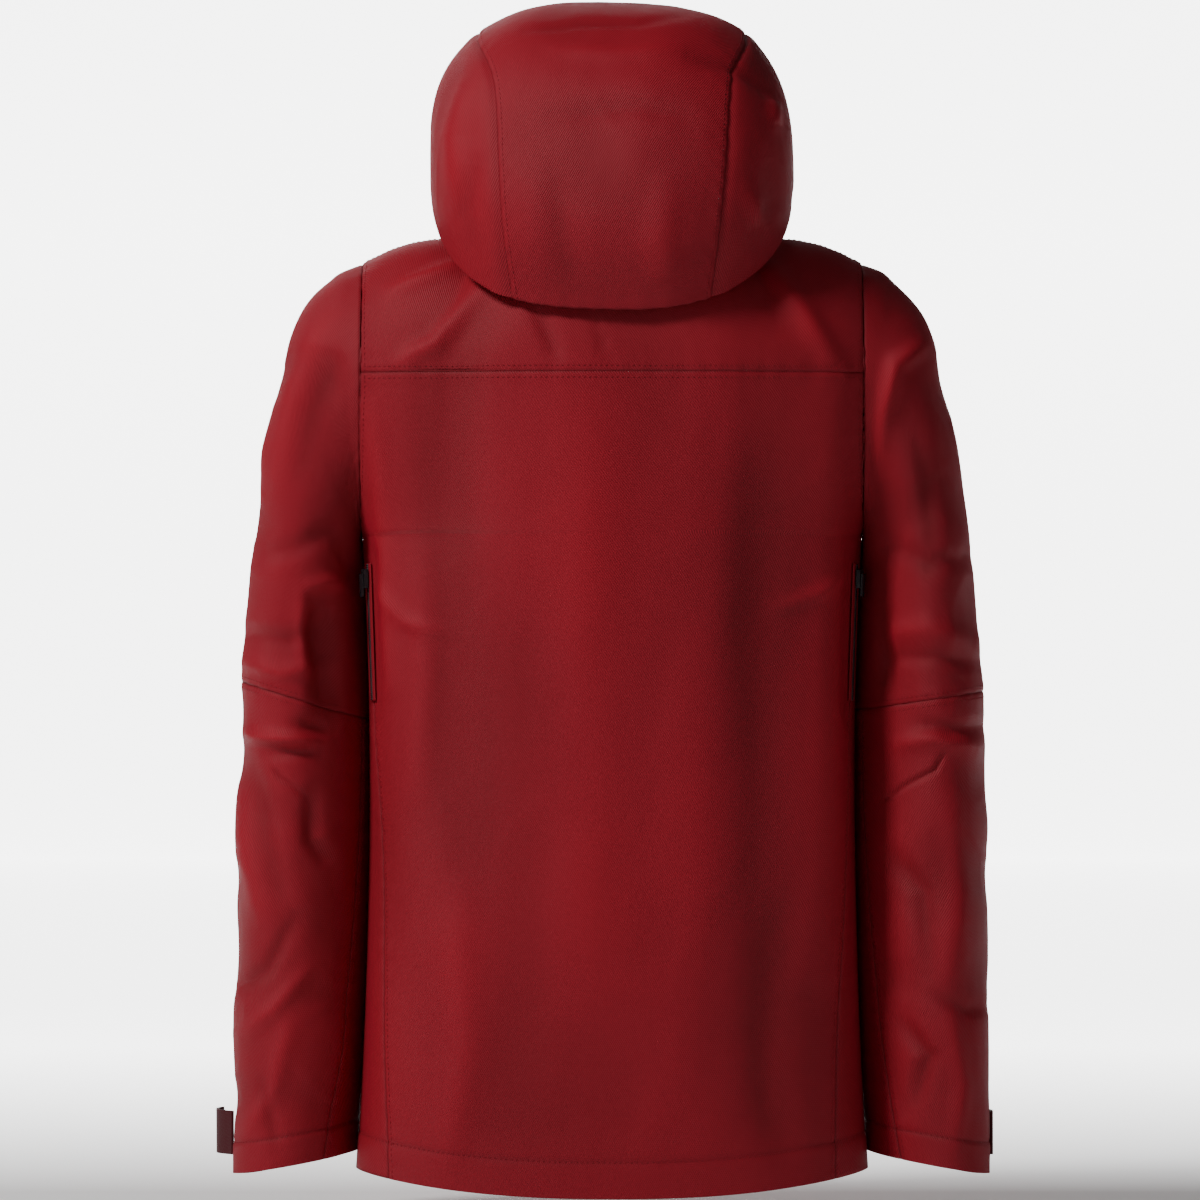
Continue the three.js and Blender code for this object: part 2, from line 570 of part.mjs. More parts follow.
function makeFrontZip() {
  const low = HEM_Z + HEM_RISE + 2;
  const high = COLLAR_TOP_Z - 2;
  const at = (z) => new THREE.Vector3(0, -frontDepth(z), z);
  const group = zipGroup(at(low), at(high), new THREE.Vector3(0, -1, 0));
  const length = at(low).distanceTo(at(high));
  const boxTop = 12;
  for (const [name, side] of SIDES) {
    const across = [side * (COIL_WIDTH / 2 + GAP), side * TAPE_WIDTH].sort((a, b) => a - b);
    const tape = bar(across, [0, TAPE_THICK], [boxTop + GAP, length]);
    add("front_zip_tape_" + name, tape, BLACK, 0.9, group);
  }
  const coil = bar([-COIL_WIDTH / 2, COIL_WIDTH / 2], [-COIL_PROUD, TAPE_THICK], [boxTop + GAP, length]);
  add("front_zip_coil", coil, BLACK, 0.5, group);
  add("front_zip_box", bar([-5, 5], [-1.8, 2.4], [0, boxTop]), BLACK, 0.4, group);
  const flap = bar([-9, 9], [FABRIC + 1.2, FABRIC + 2.7], [HEM_FACING + 2, length]);
  add("storm_flap", flap, DARK_RED, 0.8, group);
  const guard = bar([-15, 15], [FABRIC + 3.1, FABRIC + 4.1], [length - 30, length]);
  add("chin_guard", guard, BLACK, 0.95, group);
  addSlider("front_zip", group, length - 6);
}

// A zip laid on the body at one turn, from a lower to a higher height, in its own welded strip.
function makeBodyZip(name, side, turn, low, high) {
  const surface = mirrored(bodyPoint, side);
  const lifted = raised(surface, bodyCore, () => TAPE_THICK + 2 * GAP);
  const facing = outward(surface, turn, (low + high) / 2, bodyCore);
  const group = zipGroup(lifted(turn, low), lifted(turn, high), facing);
  const length = lifted(turn, low).distanceTo(lifted(turn, high));
  const half = COIL_WIDTH / 2;
  const section = new THREE.Shape([
    [-TAPE_WIDTH, TAPE_THICK], [TAPE_WIDTH, TAPE_THICK], [TAPE_WIDTH, 0], [half, 0],
    [half, -COIL_PROUD], [-half, -COIL_PROUD], [-half, 0], [-TAPE_WIDTH, 0],
  ].map(([x, y]) => new THREE.Vector2(x, y)));
  const strip = new THREE.ExtrudeGeometry(section, { depth: length, bevelEnabled: false });
  add(name, closed(strip), BLACK, 0.7, group);
  addSlider(name, group, length - 5, { ...PULLER, length: 18 });
}

makeBody();
makeInside();
for (const [name, side] of SIDES) makeSleeve(name, side);
makeHood();
makeHoodTrim();
makeFrontZip();
for (const [name, side] of SIDES) {
  makeBodyZip("pocket_zip_" + name, side, POCKET_TURN, POCKET_LOW, POCKET_LOW + POCKET_ZIP);
  makeBodyZip("pit_zip_" + name, side, PIT_TURN, PIT_TOP - PIT_ZIP, PIT_TOP);
}

export default jacket;
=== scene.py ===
"""A hooded three-layer hardshell jacket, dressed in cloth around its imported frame.

Every length in the size fields is in metres. The front of the jacket faces -Y and the wearer's left
is +X. Cloth pieces are grids of points worked out from two numbers each, and given a wall.
"""

import logging
import math
from dataclasses import dataclass, field
from enum import Enum
from typing import Callable, Sequence

import bpy
import numpy as np
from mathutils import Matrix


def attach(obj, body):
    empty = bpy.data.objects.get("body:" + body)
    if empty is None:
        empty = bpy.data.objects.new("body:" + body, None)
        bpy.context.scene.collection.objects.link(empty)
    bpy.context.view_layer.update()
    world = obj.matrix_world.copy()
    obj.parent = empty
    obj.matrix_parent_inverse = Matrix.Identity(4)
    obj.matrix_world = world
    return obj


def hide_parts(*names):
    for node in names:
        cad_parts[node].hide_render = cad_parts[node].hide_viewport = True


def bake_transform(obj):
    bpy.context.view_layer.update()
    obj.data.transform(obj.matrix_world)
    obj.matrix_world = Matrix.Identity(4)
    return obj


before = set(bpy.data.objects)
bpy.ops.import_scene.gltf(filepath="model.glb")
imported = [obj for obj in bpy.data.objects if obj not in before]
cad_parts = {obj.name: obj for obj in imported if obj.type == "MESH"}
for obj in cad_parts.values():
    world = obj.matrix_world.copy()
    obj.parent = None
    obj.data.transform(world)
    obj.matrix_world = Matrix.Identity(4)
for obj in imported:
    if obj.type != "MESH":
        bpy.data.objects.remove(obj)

LOG = logging.getLogger("jacket")
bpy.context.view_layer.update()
SIDES = (("left", 1.0), ("right", -1.0))
TURN = 2 * math.pi
QUARTER = math.pi / 2
MM = 1000.0
Grid = np.ndarray


# ---- small tools ----


def linear(code: str) -> tuple[float, float, float, float]:
    """Turns an sRGB hex colour into linear light.

    Args:
        code: six hex digits.

    Returns:
        Red, green and blue from 0 to 1, and full alpha.
    """
    parts = [int(code[i : i + 2], 16) / 255 for i in (0, 2, 4)]
    light = [p / 12.92 if p <= 0.04045 else ((p + 0.055) / 1.055) ** 2.4 for p in parts]
    return (light[0], light[1], light[2], 1.0)


def add_node(tree: bpy.types.NodeTree, kind: str, settings: dict, links: dict) -> bpy.types.Node:
    """Adds one shader node.

    Args:
        tree: the material's node tree.
        kind: the node's type name.
        settings: attribute names, or ("in", socket) pairs for a socket's own value.
        links: input socket to the output socket that feeds it.

    Returns:
        The new node.
    """
    node = tree.nodes.new(kind)
    for key, value in settings.items():
        if isinstance(key, tuple):
            node.inputs[key[1]].default_value = value
        else:
            setattr(node, key, value)
    for socket, source in links.items():
        tree.links.new(source, node.inputs[socket])
    return node


def smooth(value: Grid, low: float, high: float) -> Grid:
    """Rises smoothly from 0 at low to 1 at high, as 3t squared minus 2t cubed.

    Args:
        value: where to take it.
        low: the value that gives 0, which may be the larger one.
        high: the value that gives 1.

    Returns:
        Shares from 0 to 1.
    """
    t = np.clip((value - low) / (high - low), 0, 1)
    return t * t * (3 - 2 * t)


def mix(a: Grid | float, b: Grid | float, share: Grid | float) -> Grid | float:
    """The point a share of the way from a to b.

    Args:
        a: what a share of 0 gives.
        b: what a share of 1 gives.
        share: how far from the first to the second.

    Returns:
        The values between them.
    """
    return a + (b - a) * share


def bell(value: Grid, middle: float, width: float) -> Grid:
    """The bell curve exp(-((value - middle) / width)^2).

    Args:
        value: where to take it.
        middle: where the curve is 1.
        width: how far out it falls to 1/e.

    Returns:
        Values from 0 to 1.
    """
    return np.exp(-(((value - middle) / width) ** 2))


def spline(points: Sequence[Sequence[float]], share: Grid) -> Grid:
    """A smooth curve through points: on each span the Catmull-Rom cubic of its four neighbours.

    Args:
        points: the points to pass through, evenly spaced in the curve's own number.
        share: where on the curve, from 0 to 1.

    Returns:
        One point for each share, with the coordinates along the last axis.
    """
    p = np.asarray(points, float)
    p = np.vstack([2 * p[0] - p[1], p, 2 * p[-1] - p[-2]])
    at = np.clip(share, 0, 1) * (len(p) - 3)
    i = np.minimum(at.astype(int), len(p) - 4)
    t = (at - i)[..., None]
    a, b, c, d = p[i], p[i + 1], p[i + 2], p[i + 3]
    cubic = (3 * b - a - 3 * c + d) * t**3 + (2 * a - 5 * b + 4 * c - d) * t**2 + (c - a) * t
    return b + cubic / 2


def unit(vectors: Grid) -> Grid:
    """Vectors of length 1 along the last axis.

    Args:
        vectors: vectors of any length.

    Returns:
        The same ways at length 1.
    """
    return vectors / np.maximum(np.linalg.norm(vectors, axis=-1, keepdims=True), 1e-12)


# ---- how cloth lies ----


@dataclass(frozen=True)
class Fold:
    """A ridge or valley in the cloth along a line seen from behind.

    The height falls off across the line as a bell curve.
    """

    line: tuple[tuple[float, float], ...]
    height: float
    width: float


def fold_height(folds: Sequence[Fold], x: Grid, z: Grid) -> Grid:
    """Adds up the folds at each point.

    Each fold gives its height times the bell curve exp(-(distance / width)^2), with the distance to
    the nearest point of its line, and dies away at both ends of the line as the root of a sine.

    Args:
        folds: the ridges and valleys, in millimetres.
        x: across, in metres.
        z: up, in metres.

    Returns:
        The height of the cloth above its smooth shape, in metres.
    """
    total = np.zeros_like(x)
    for fold in folds:
        nearest, run = np.full_like(x, 1e9), np.zeros_like(x)
        spans = len(fold.line) - 1
        for i, ((ax, az), (bx, bz)) in enumerate(zip(fold.line[:-1], fold.line[1:])):
            ax, az, bx, bz = ax / MM, az / MM, bx / MM, bz / MM
            dx, dz = bx - ax, bz - az
            t = np.clip(((x - ax) * dx + (z - az) * dz) / (dx * dx + dz * dz), 0, 1)
            away = np.hypot(x - ax - t * dx, z - az - t * dz)
            run = np.where(away < nearest, (i + t) / spans, run)
            nearest = np.minimum(nearest, away)
        fade = np.sqrt(np.sin(math.pi * np.clip(0.04 + 0.92 * run, 0, 1)))
        total += fold.height / MM * fade * bell(nearest * MM, 0.0, fold.width)
    return total


@dataclass(frozen=True)
class Crumple:
    """The shallow, faceted creasing of a stiff laminate.

    A few plane waves in chosen directions add up to a slow wave. The cloth swells with it, and is
    creased along the lines where it passes through zero, as exp(-(wave / sharpness)^2).
    """

    seed: int
    wavelength: float
    swell: float
    crease: float
    sharpness: float = 0.16
    stretch: tuple[float, float, float] = (1.0, 1.0, 0.6)
    waves: int = 6
    lengths: tuple[float, float] = (0.75, 1.5)
    bends: float = 4.0
    wander: float = 0.9
    level: float = 0.2

    def height(self, points: Grid) -> Grid:
        """The height of the creased cloth at points in space, in metres.

        Args:
            points: places, in metres.

        Returns:
            Heights, in metres.
        """
        draw = np.random.default_rng(self.seed)
        spread = points * np.array(self.stretch)
        wave = np.zeros(points.shape[:-1])
        for _ in range(self.waves):
            way = draw.normal(size=3)
            way /= np.linalg.norm(way)
            length = self.wavelength * draw.uniform(*self.lengths)
            phase = draw.uniform(0, TURN)
            bend = np.sin(spread @ draw.normal(size=3) * self.bends / self.wavelength + phase)
            wave += np.sin(TURN * (spread @ way) / length + phase + self.wander * bend)
        wave /= math.sqrt(self.waves)
        return self.swell * wave + self.crease * (bell(wave, 0.0, self.sharpness) - self.level)


class Edge(Enum):
    """How one border of a cloth piece ends."""

    SEAM = "seam"
    HEM = "hem"
    RAW = "raw"


@dataclass(frozen=True)
class EdgeShape:
    """How far seams sink, swell and pucker, and how thick a hem and its stitched line are."""

    seam_deep: float = 0.0006
    seam_width: float = 0.0012
    swell: float = 0.0002
    swell_at: float = 0.0055
    swell_width: float = 0.004
    pucker_pitch: float = 0.017
    pucker_wander: float = 1.3
    pucker_turn: float = 61.0
    pucker_reach: float = 0.009
    hem_thick: float = 0.0007
    hem_line: float = 0.0009
    hem_line_width: float = 0.0016
    hem_shade: float = 0.7


EDGES = EdgeShape()


@dataclass
class Piece:
    """One cut piece of cloth, before it becomes a mesh.

    The points are a grid with rows along the first axis. Outwards points away from the core.
    The four edges are those at the first row, last row, first column and last column.
    """

    name: str
    points: Grid
    core: Grid
    edges: tuple[Edge, Edge, Edge, Edge] = (Edge.SEAM,) * 4
    wall: float = 0.0012
    ring: bool = False
    radial: bool = False
    pucker: float = 0.00025
    hem: float = 0.024
    lift: Grid | float = 0.0

    def _steps(self, axis: int) -> Grid:
        """Distances from point to point along one axis.

        Args:
            axis: 0 for rows, 1 for columns.

        Returns:
            One distance fewer than points.
        """
        return np.linalg.norm(np.diff(self.points, axis=axis), axis=-1)

    def lengths(self) -> tuple[Grid, Grid]:
        """Real lengths along the grid, for the weave and the edges.

        Returns:
            The length from the first row to each point, and from the first column to each point.
        """
        rows = np.concatenate([np.zeros((1, self.points.shape[1])), np.cumsum(self._steps(0), 0)])
        cols = np.concatenate([np.zeros((self.points.shape[0], 1)), np.cumsum(self._steps(1), 1)], 1)
        return rows, cols

    def normals(self, points: Grid) -> Grid:
        """Unit normals of a grid: the cross product of its slopes along rows and columns.

        Args:
            points: the grid.

        Returns:
            One unit vector for each point.
        """
        if self.radial:
            return unit(points - self.core)
        if self.ring:
            across = np.roll(points, -1, 1) - np.roll(points, 1, 1)
        else:
            across = np.gradient(points, axis=1)
        normal = unit(np.cross(across, np.gradient(points, axis=0)))
        side = np.sign(np.sum(normal * (points - self.core)))
        return normal * side

    def shaped(self) -> tuple[Grid, Grid, Grid]:
        """Lifts the cloth by its folds and shapes its edges.

        A seam sinks by a bell curve across it and swells beside it, with small puckers along it. A
        hem is one layer of cloth thicker for its width.

        Returns:
            The outer grid, the inner grid, and how deep in a seam each point lies.
        """
        normal = self.normals(self.points)
        rows, cols = self.lengths()
        sunk = np.zeros(rows.shape)
        seam = np.zeros(rows.shape)
        distances = (rows, rows[-1:] - rows, cols, cols[:, -1:] - cols)
        along = (cols, cols, rows, rows)
        for edge, gap, run in zip(self.edges, distances, along):
            if edge is Edge.SEAM:
                near = bell(gap, 0.0, EDGES.seam_width)
                beside = bell(gap, EDGES.swell_at, EDGES.swell_width)
                wander = EDGES.pucker_wander * np.sin(run * EDGES.pucker_turn)
                wave = np.sin(run * TURN / EDGES.pucker_pitch + wander)
                puckers = self.pucker * wave * np.exp(-gap / EDGES.pucker_reach)
                sunk += -EDGES.seam_deep * near + EDGES.swell * beside + puckers
                # Marks the seam groove, where the shell material paints shade.
                seam = np.maximum(seam, near)
            elif edge is Edge.HEM:
                line = bell(gap, self.hem, EDGES.hem_line_width)
                layer = smooth(gap, self.hem + 0.002, self.hem - 0.001)
                sunk += EDGES.hem_thick * layer - EDGES.hem_line * line
                # Marks the hem's stitched line, where the shell material paints shade.
                seam = np.maximum(seam, EDGES.hem_shade * line)
        outer = self.points + normal * (self.lift + sunk)[..., None]
        inner = outer - self.normals(outer) * self.wall
        return outer, inner, seam


SEAM_STEPS = (0.0005, 0.0010, 0.0015, 0.0021, 0.0028, 0.0038, 0.0052, 0.0068)
# The fold height that gives the full step of painted fold light and shade.
CREST_FULL = 0.004


def close_ends(low: float, high: float, count: int, length: float) -> Grid:
    """Evenly spaced values with extra ones close to both ends, where the seams lie.

    Args:
        low: the first value.
        high: the last value.
        count: how many are evenly spaced.
        length: the real distance from the first to the last, in metres.

    Returns:
        The sorted values.
    """
    extra = np.array(SEAM_STEPS) / length
    share = np.concatenate([np.linspace(0, 1, count), extra, 1 - extra])
    return mix(low, high, np.unique(np.round(share, 6)))


def quads(rows: int, cols: int, ring: bool) -> Grid:
    """Corner numbers of each square of a grid, as (row, column) pairs that may wrap round.

    Args:
        rows: how many rows of points.
        cols: how many columns of points.
        ring: whether the last column joins the first.

    Returns:
        An array of squares by corners by (row, column).
    """
    r, c = np.meshgrid(np.arange(rows - 1), np.arange(cols if ring else cols - 1), indexing="ij")
    corners = [(r, c), (r, c + 1), (r + 1, c + 1), (r + 1, c)]
    return np.stack([np.stack([a, b], -1).reshape(-1, 2) for a, b in corners], 1)


def new_mesh(name: str, points: Grid, faces: Sequence[Sequence[int]] | Grid) -> bpy.types.Object:
    """Makes a mesh object at the origin from points and faces.

    Args:
        name: the piece's name.
        points: places, in metres.
        faces: the corner numbers of each face.

    Returns:
        The mesh object.
    """
    mesh = bpy.data.meshes.new(name)
    listed = faces.tolist() if isinstance(faces, np.ndarray) else faces
    mesh.from_pydata(np.asarray(points).reshape(-1, 3).tolist(), [], listed)
    mesh.polygons.foreach_set("use_smooth", np.ones(len(mesh.polygons), bool))
    mesh.update()
    obj = bpy.data.objects.new(name, mesh)
    bpy.context.scene.collection.objects.link(obj)
    return obj


def borders(n_rows: int, n_cols: int, ring: bool) -> list[Grid]:
    """The closed borders of a grid as point numbers in order, with the first repeated last.

    Args:
        n_rows: how many rows of points.
        n_cols: how many columns of points.
        ring: whether the last column joins the first.

    Returns:
        One loop, or two where the grid is a ring.
    """
    first = np.arange(n_cols)
    last = (first + (n_rows - 1) * n_cols)[::-1]
    if ring:
        return [np.append(loop, loop[0]) for loop in (first, last)]
    side = np.arange(n_rows) * n_cols
    return [np.concatenate([first, side[1:] + n_cols - 1, last[1:], side[::-1][1:]])]


def sew(piece: Piece) -> bpy.types.Object:
    """Turns a cloth piece into a closed mesh: outer layer, inner layer and the rim between them.

    The UV map holds real lengths in metres, and two point attributes say how deep in a seam and how
    high on a fold each point lies; the shell material paints shade into seams and light and shade onto
    folds from them.

    Args:
        piece: the cut cloth.

    Returns:
        The mesh object.
    """
    outer, inner, seam = piece.shaped()
    n_rows, n_cols = outer.shape[:2]
    count = n_rows * n_cols
    corner = quads(n_rows, n_cols, piece.ring)
    index = corner[..., 0] * n_cols + corner[..., 1] % n_cols
    face_way = np.cross(outer[1:, 1:] - outer[:-1, :-1], outer[1:, :-1] - outer[:-1, 1:])
    outwards = np.sum(face_way * (outer[:-1, :-1] - piece.core[:-1, :-1])) > 0
    if not outwards:
        index = index[:, ::-1]
        corner = corner[:, ::-1]
    rims = []
    for loop in borders(n_rows, n_cols, piece.ring):
        a, b = loop[:-1], loop[1:]
        rim = np.stack([b, a, a + count, b + count], 1)
        rims.append(rim if outwards else rim[:, ::-1])
    faces = np.concatenate([index, index[:, ::-1] + count, *rims])
    obj = new_mesh(piece.name, np.concatenate([outer.reshape(-1, 3), inner.reshape(-1, 3)]), faces)
    rows, cols = piece.lengths()
    u_line = cols.mean(0)
    u_line = np.append(u_line, u_line[-1] + u_line[1])
    v_line = rows.mean(1)
    flat = np.stack([u_line[corner[..., 1]], v_line[corner[..., 0]]], -1)
    rim_uv = [np.stack([u_line[r % count % n_cols], v_line[r % count // n_cols]], -1) for r in rims]
    uv = np.concatenate([flat, flat[:, ::-1], *rim_uv])
    obj.data.uv_layers.new(name="cloth").data.foreach_set("uv", uv.reshape(-1).astype(np.float32))
    # The fold height, centred, from which the shell material paints highlight on ridges and shade in valleys.
    fold_shading = np.zeros(rows.shape) + np.asarray(piece.lift)
    fold_shading = fold_shading - fold_shading.mean()
    for label, values in (("seam", seam), ("fold_shading", fold_shading / CREST_FULL)):
        store = obj.data.attributes.new(label, "FLOAT", "POINT")
        store.data.foreach_set("value", np.concatenate([values.ravel()] * 2).astype(np.float32))
    return obj


# ---- finishes ----


@dataclass(frozen=True)
class ShellLaminate:
    """Piece-dyed nylon face fabric laminated to a membrane: plain diagonal grain, matt, soft sheen.

    The grain is a pair of fine crossed waves and a fibre noise, in metres along the cloth. Seam creases
    and the hem's stitched line are painted slightly darker where the "seam" attribute is high, as painted
    shade in their grooves. The fold height paints ridges towards the paler tone, as a painted highlight,
    and valleys towards the deep tone, as painted shade; a slow cloud noise adds the cloth's own uneven
    tone.
    """

    name: str
    base: str
    # Paler tone of the cloth, also the painted highlight on fold ridges and the sheen tint.
    pale_tone_and_highlight: str
    # Darker tone of the cloth, also the painted shade in fold valleys.
    deep: str
    slant: float = 32.0
    grain: float = 0.0015
    bump: float = 0.0003
    roughness: float = 0.62
    specular: float = 0.26
    sheen: float = 0.28
    sheen_roughness: float = 0.45

    def build(self) -> bpy.types.Material:
        """Makes the material's nodes.

        Returns:
            The material.
        """
        material = bpy.data.materials.new(self.name)
        material.use_nodes = True
        tree = material.node_tree
        shader = tree.nodes["Principled BSDF"]
        uv = add_node(tree, "ShaderNodeUVMap", {"uv_map": "cloth"}, {}).outputs["UV"]
        seam = add_node(tree, "ShaderNodeAttribute", {"attribute_name": "seam"}, {}).outputs["Fac"]
        fold_shading = add_node(tree, "ShaderNodeAttribute", {"attribute_name": "fold_shading"}, {}).outputs["Fac"]
        spread = add_node(
            tree, "ShaderNodeMapping", {("in", "Rotation"): (0, 0, math.radians(self.slant))}, {"Vector": uv}
        ).outputs["Vector"]
        rib = add_node(
            tree,
            "ShaderNodeTexWave",
            {("in", "Scale"): 1 / self.grain / 3.2, ("in", "Distortion"): 1.6, ("in", "Detail"): 2.0,
             ("in", "Detail Scale"): 1.5},
            {"Vector": spread},
        ).outputs["Fac"]
        fibre = add_node(
            tree, "ShaderNodeTexNoise", {("in", "Scale"): 900.0, ("in", "Detail"): 3.0}, {"Vector": uv}
        ).outputs["Fac"]
        where = add_node(tree, "ShaderNodeTexCoord", {}, {}).outputs["Object"]
        cloud = add_node(
            tree, "ShaderNodeTexNoise", {("in", "Scale"): 9.0, ("in", "Detail"): 4.0}, {"Vector": where}
        ).outputs["Fac"]
        # Painted light and shade: the fold height pushes the colour ramp towards the paler tone on ridges, a
        # painted highlight, and towards the deep tone in valleys, painted shade. The cloud noise is the
        # cloth's own uneven tone.
        high = add_node(
            tree, "ShaderNodeMapRange",
            {("in", "From Min"): -1.2, ("in", "From Max"): 2.2}, {"Value": fold_shading},
        ).outputs["Result"]
        tone = add_node(
            tree, "ShaderNodeMath", {"operation": "MULTIPLY_ADD", ("in", 1): 0.16}, {0: cloud, 2: high}
        ).outputs["Value"]
        ramp = add_node(tree, "ShaderNodeValToRGB", {}, {"Fac": tone})
        ramp.color_ramp.elements[0].color = linear(self.deep)
        ramp.color_ramp.elements[0].position = 0.12
        ramp.color_ramp.elements[1].color = linear(self.pale_tone_and_highlight)
        ramp.color_ramp.elements[1].position = 1.0
        middle = ramp.color_ramp.elements.new(0.5)
        middle.color = linear(self.base)
        weave = add_node(
            tree, "ShaderNodeMath", {"operation": "MULTIPLY_ADD", ("in", 1): 0.7}, {0: fibre, 2: rib}
        ).outputs["Value"]
        speck = add_node(
            tree, "ShaderNodeMath",
            {"operation": "MULTIPLY_ADD", ("in", 1): 0.30, ("in", 2): 0.82}, {0: weave},
        ).outputs["Value"]
        grained = add_node(
            tree, "ShaderNodeVectorMath", {"operation": "SCALE"}, {0: ramp.outputs["Color"], "Scale": speck}
        ).outputs["Vector"]
        # Painted shade: the colour is darkened in the seam grooves and on the hem's stitched line.
        fade = add_node(
            tree, "ShaderNodeMath",
            {"operation": "MULTIPLY_ADD", ("in", 1): -0.28, ("in", 2): 1.0}, {0: seam},
        ).outputs["Value"]
        coloured = add_node(
            tree, "ShaderNodeVectorMath", {"operation": "SCALE"}, {0: grained, "Scale": fade}
        ).outputs["Vector"]
        tree.links.new(coloured, shader.inputs["Base Color"])
        bump = add_node(
            tree, "ShaderNodeBump",
            {("in", "Strength"): 0.7, ("in", "Distance"): self.bump}, {"Height": weave},
        ).outputs["Normal"]
        tree.links.new(bump, shader.inputs["Normal"])
        shader.inputs["Roughness"].default_value = self.roughness
        shader.inputs["Specular IOR Level"].default_value = self.specular
        shader.inputs["Sheen Weight"].default_value = self.sheen
        shader.inputs["Sheen Roughness"].default_value = self.sheen_roughness
        shader.inputs["Sheen Tint"].default_value = linear(self.pale_tone_and_highlight)
        return material


@dataclass(frozen=True)
class Moulded:
    """Injection-moulded polymer or a woven narrow tape: a grainy surface with a fine bump."""

    name: str
    base: str
    roughness: float
    scale: float
    bump: float

    def build(self) -> bpy.types.Material:
        """Makes the material's nodes.

        Returns:
            The material.
        """
        material = bpy.data.materials.new(self.name)
        material.use_nodes = True
        tree = material.node_tree
        shader = tree.nodes["Principled BSDF"]
        where = add_node(tree, "ShaderNodeTexCoord", {}, {}).outputs["Object"]
        grain = add_node(
            tree, "ShaderNodeTexNoise",
            {("in", "Scale"): self.scale, ("in", "Detail"): 3.0}, {"Vector": where},
        ).outputs["Fac"]
        ramp = add_node(tree, "ShaderNodeValToRGB", {}, {"Fac": grain})
        dark = linear(self.base)
        ramp.color_ramp.elements[0].color = tuple(0.6 * v for v in dark[:3]) + (1.0,)
        ramp.color_ramp.elements[1].color = tuple(min(1.0, 1.5 * v) for v in dark[:3]) + (1.0,)
        bump = add_node(
            tree, "ShaderNodeBump",
            {("in", "Strength"): 0.4, ("in", "Distance"): self.bump}, {"Height": grain},
        ).outputs["Normal"]
        rough = add_node(
            tree, "ShaderNodeMapRange",
            {("in", "To Min"): self.roughness - 0.08, ("in", "To Max"): self.roughness + 0.1},
            {"Value": grain},
        ).outputs["Result"]
        tree.links.new(ramp.outputs["Color"], shader.inputs["Base Color"])
        tree.links.new(bump, shader.inputs["Normal"])
        tree.links.new(rough, shader.inputs["Roughness"])
        return material


class Finish(Enum):
    """The materials of the jacket."""

    # Each finish lists its base colour, its paler tone that also serves as painted highlight on fold ridges,
    # and its deep tone that also serves as painted shade in fold valleys.
    SHELL = ShellLaminate("nylon_face_laminate_piece_dyed", "8A0F20", "960F22", "7C0C1B", sheen=0.05)
    TRIM = ShellLaminate("nylon_trim_laminate_piece_dyed", "4A0D16", "5A121D", "33090E", sheen=0.04)
    TAPE = Moulded("woven_polyester_tape", "18161A", 0.85, 1600.0, 0.0001)
    HOOKS = Moulded("knitted_hook_and_loop", "151317", 0.95, 1200.0, 0.0004)
    POLYMER = Moulded("injection_moulded_acetal", "18161A", 0.42, 500.0, 0.00003)


class Wardrobe:
    """Keeps one built material for each finish and hands it to pieces."""

    def __init__(self) -> None:
        """Builds every finish once."""
        self.made = {finish: finish.value.build() for finish in Finish}

    def dress(self, obj: bpy.types.Object, finish: Finish, slot: str) -> None:
        """Gives an object its material.

        Args:
            obj: a mesh object.
            finish: which material.
            slot: not used.
        """
        obj.data.materials.clear()
        obj.data.materials.append(self.made[finish])


# ---- body of the jacket ----


def place(x: Grid, y: Grid, z: Grid) -> Grid:
    """Stacks coordinates into points.

    Args:
        x: across.
        y: back and front.
        z: up.

    Returns:
        Points along the last axis.
    """
    return np.stack(np.broadcast_arrays(x, y, z), -1)


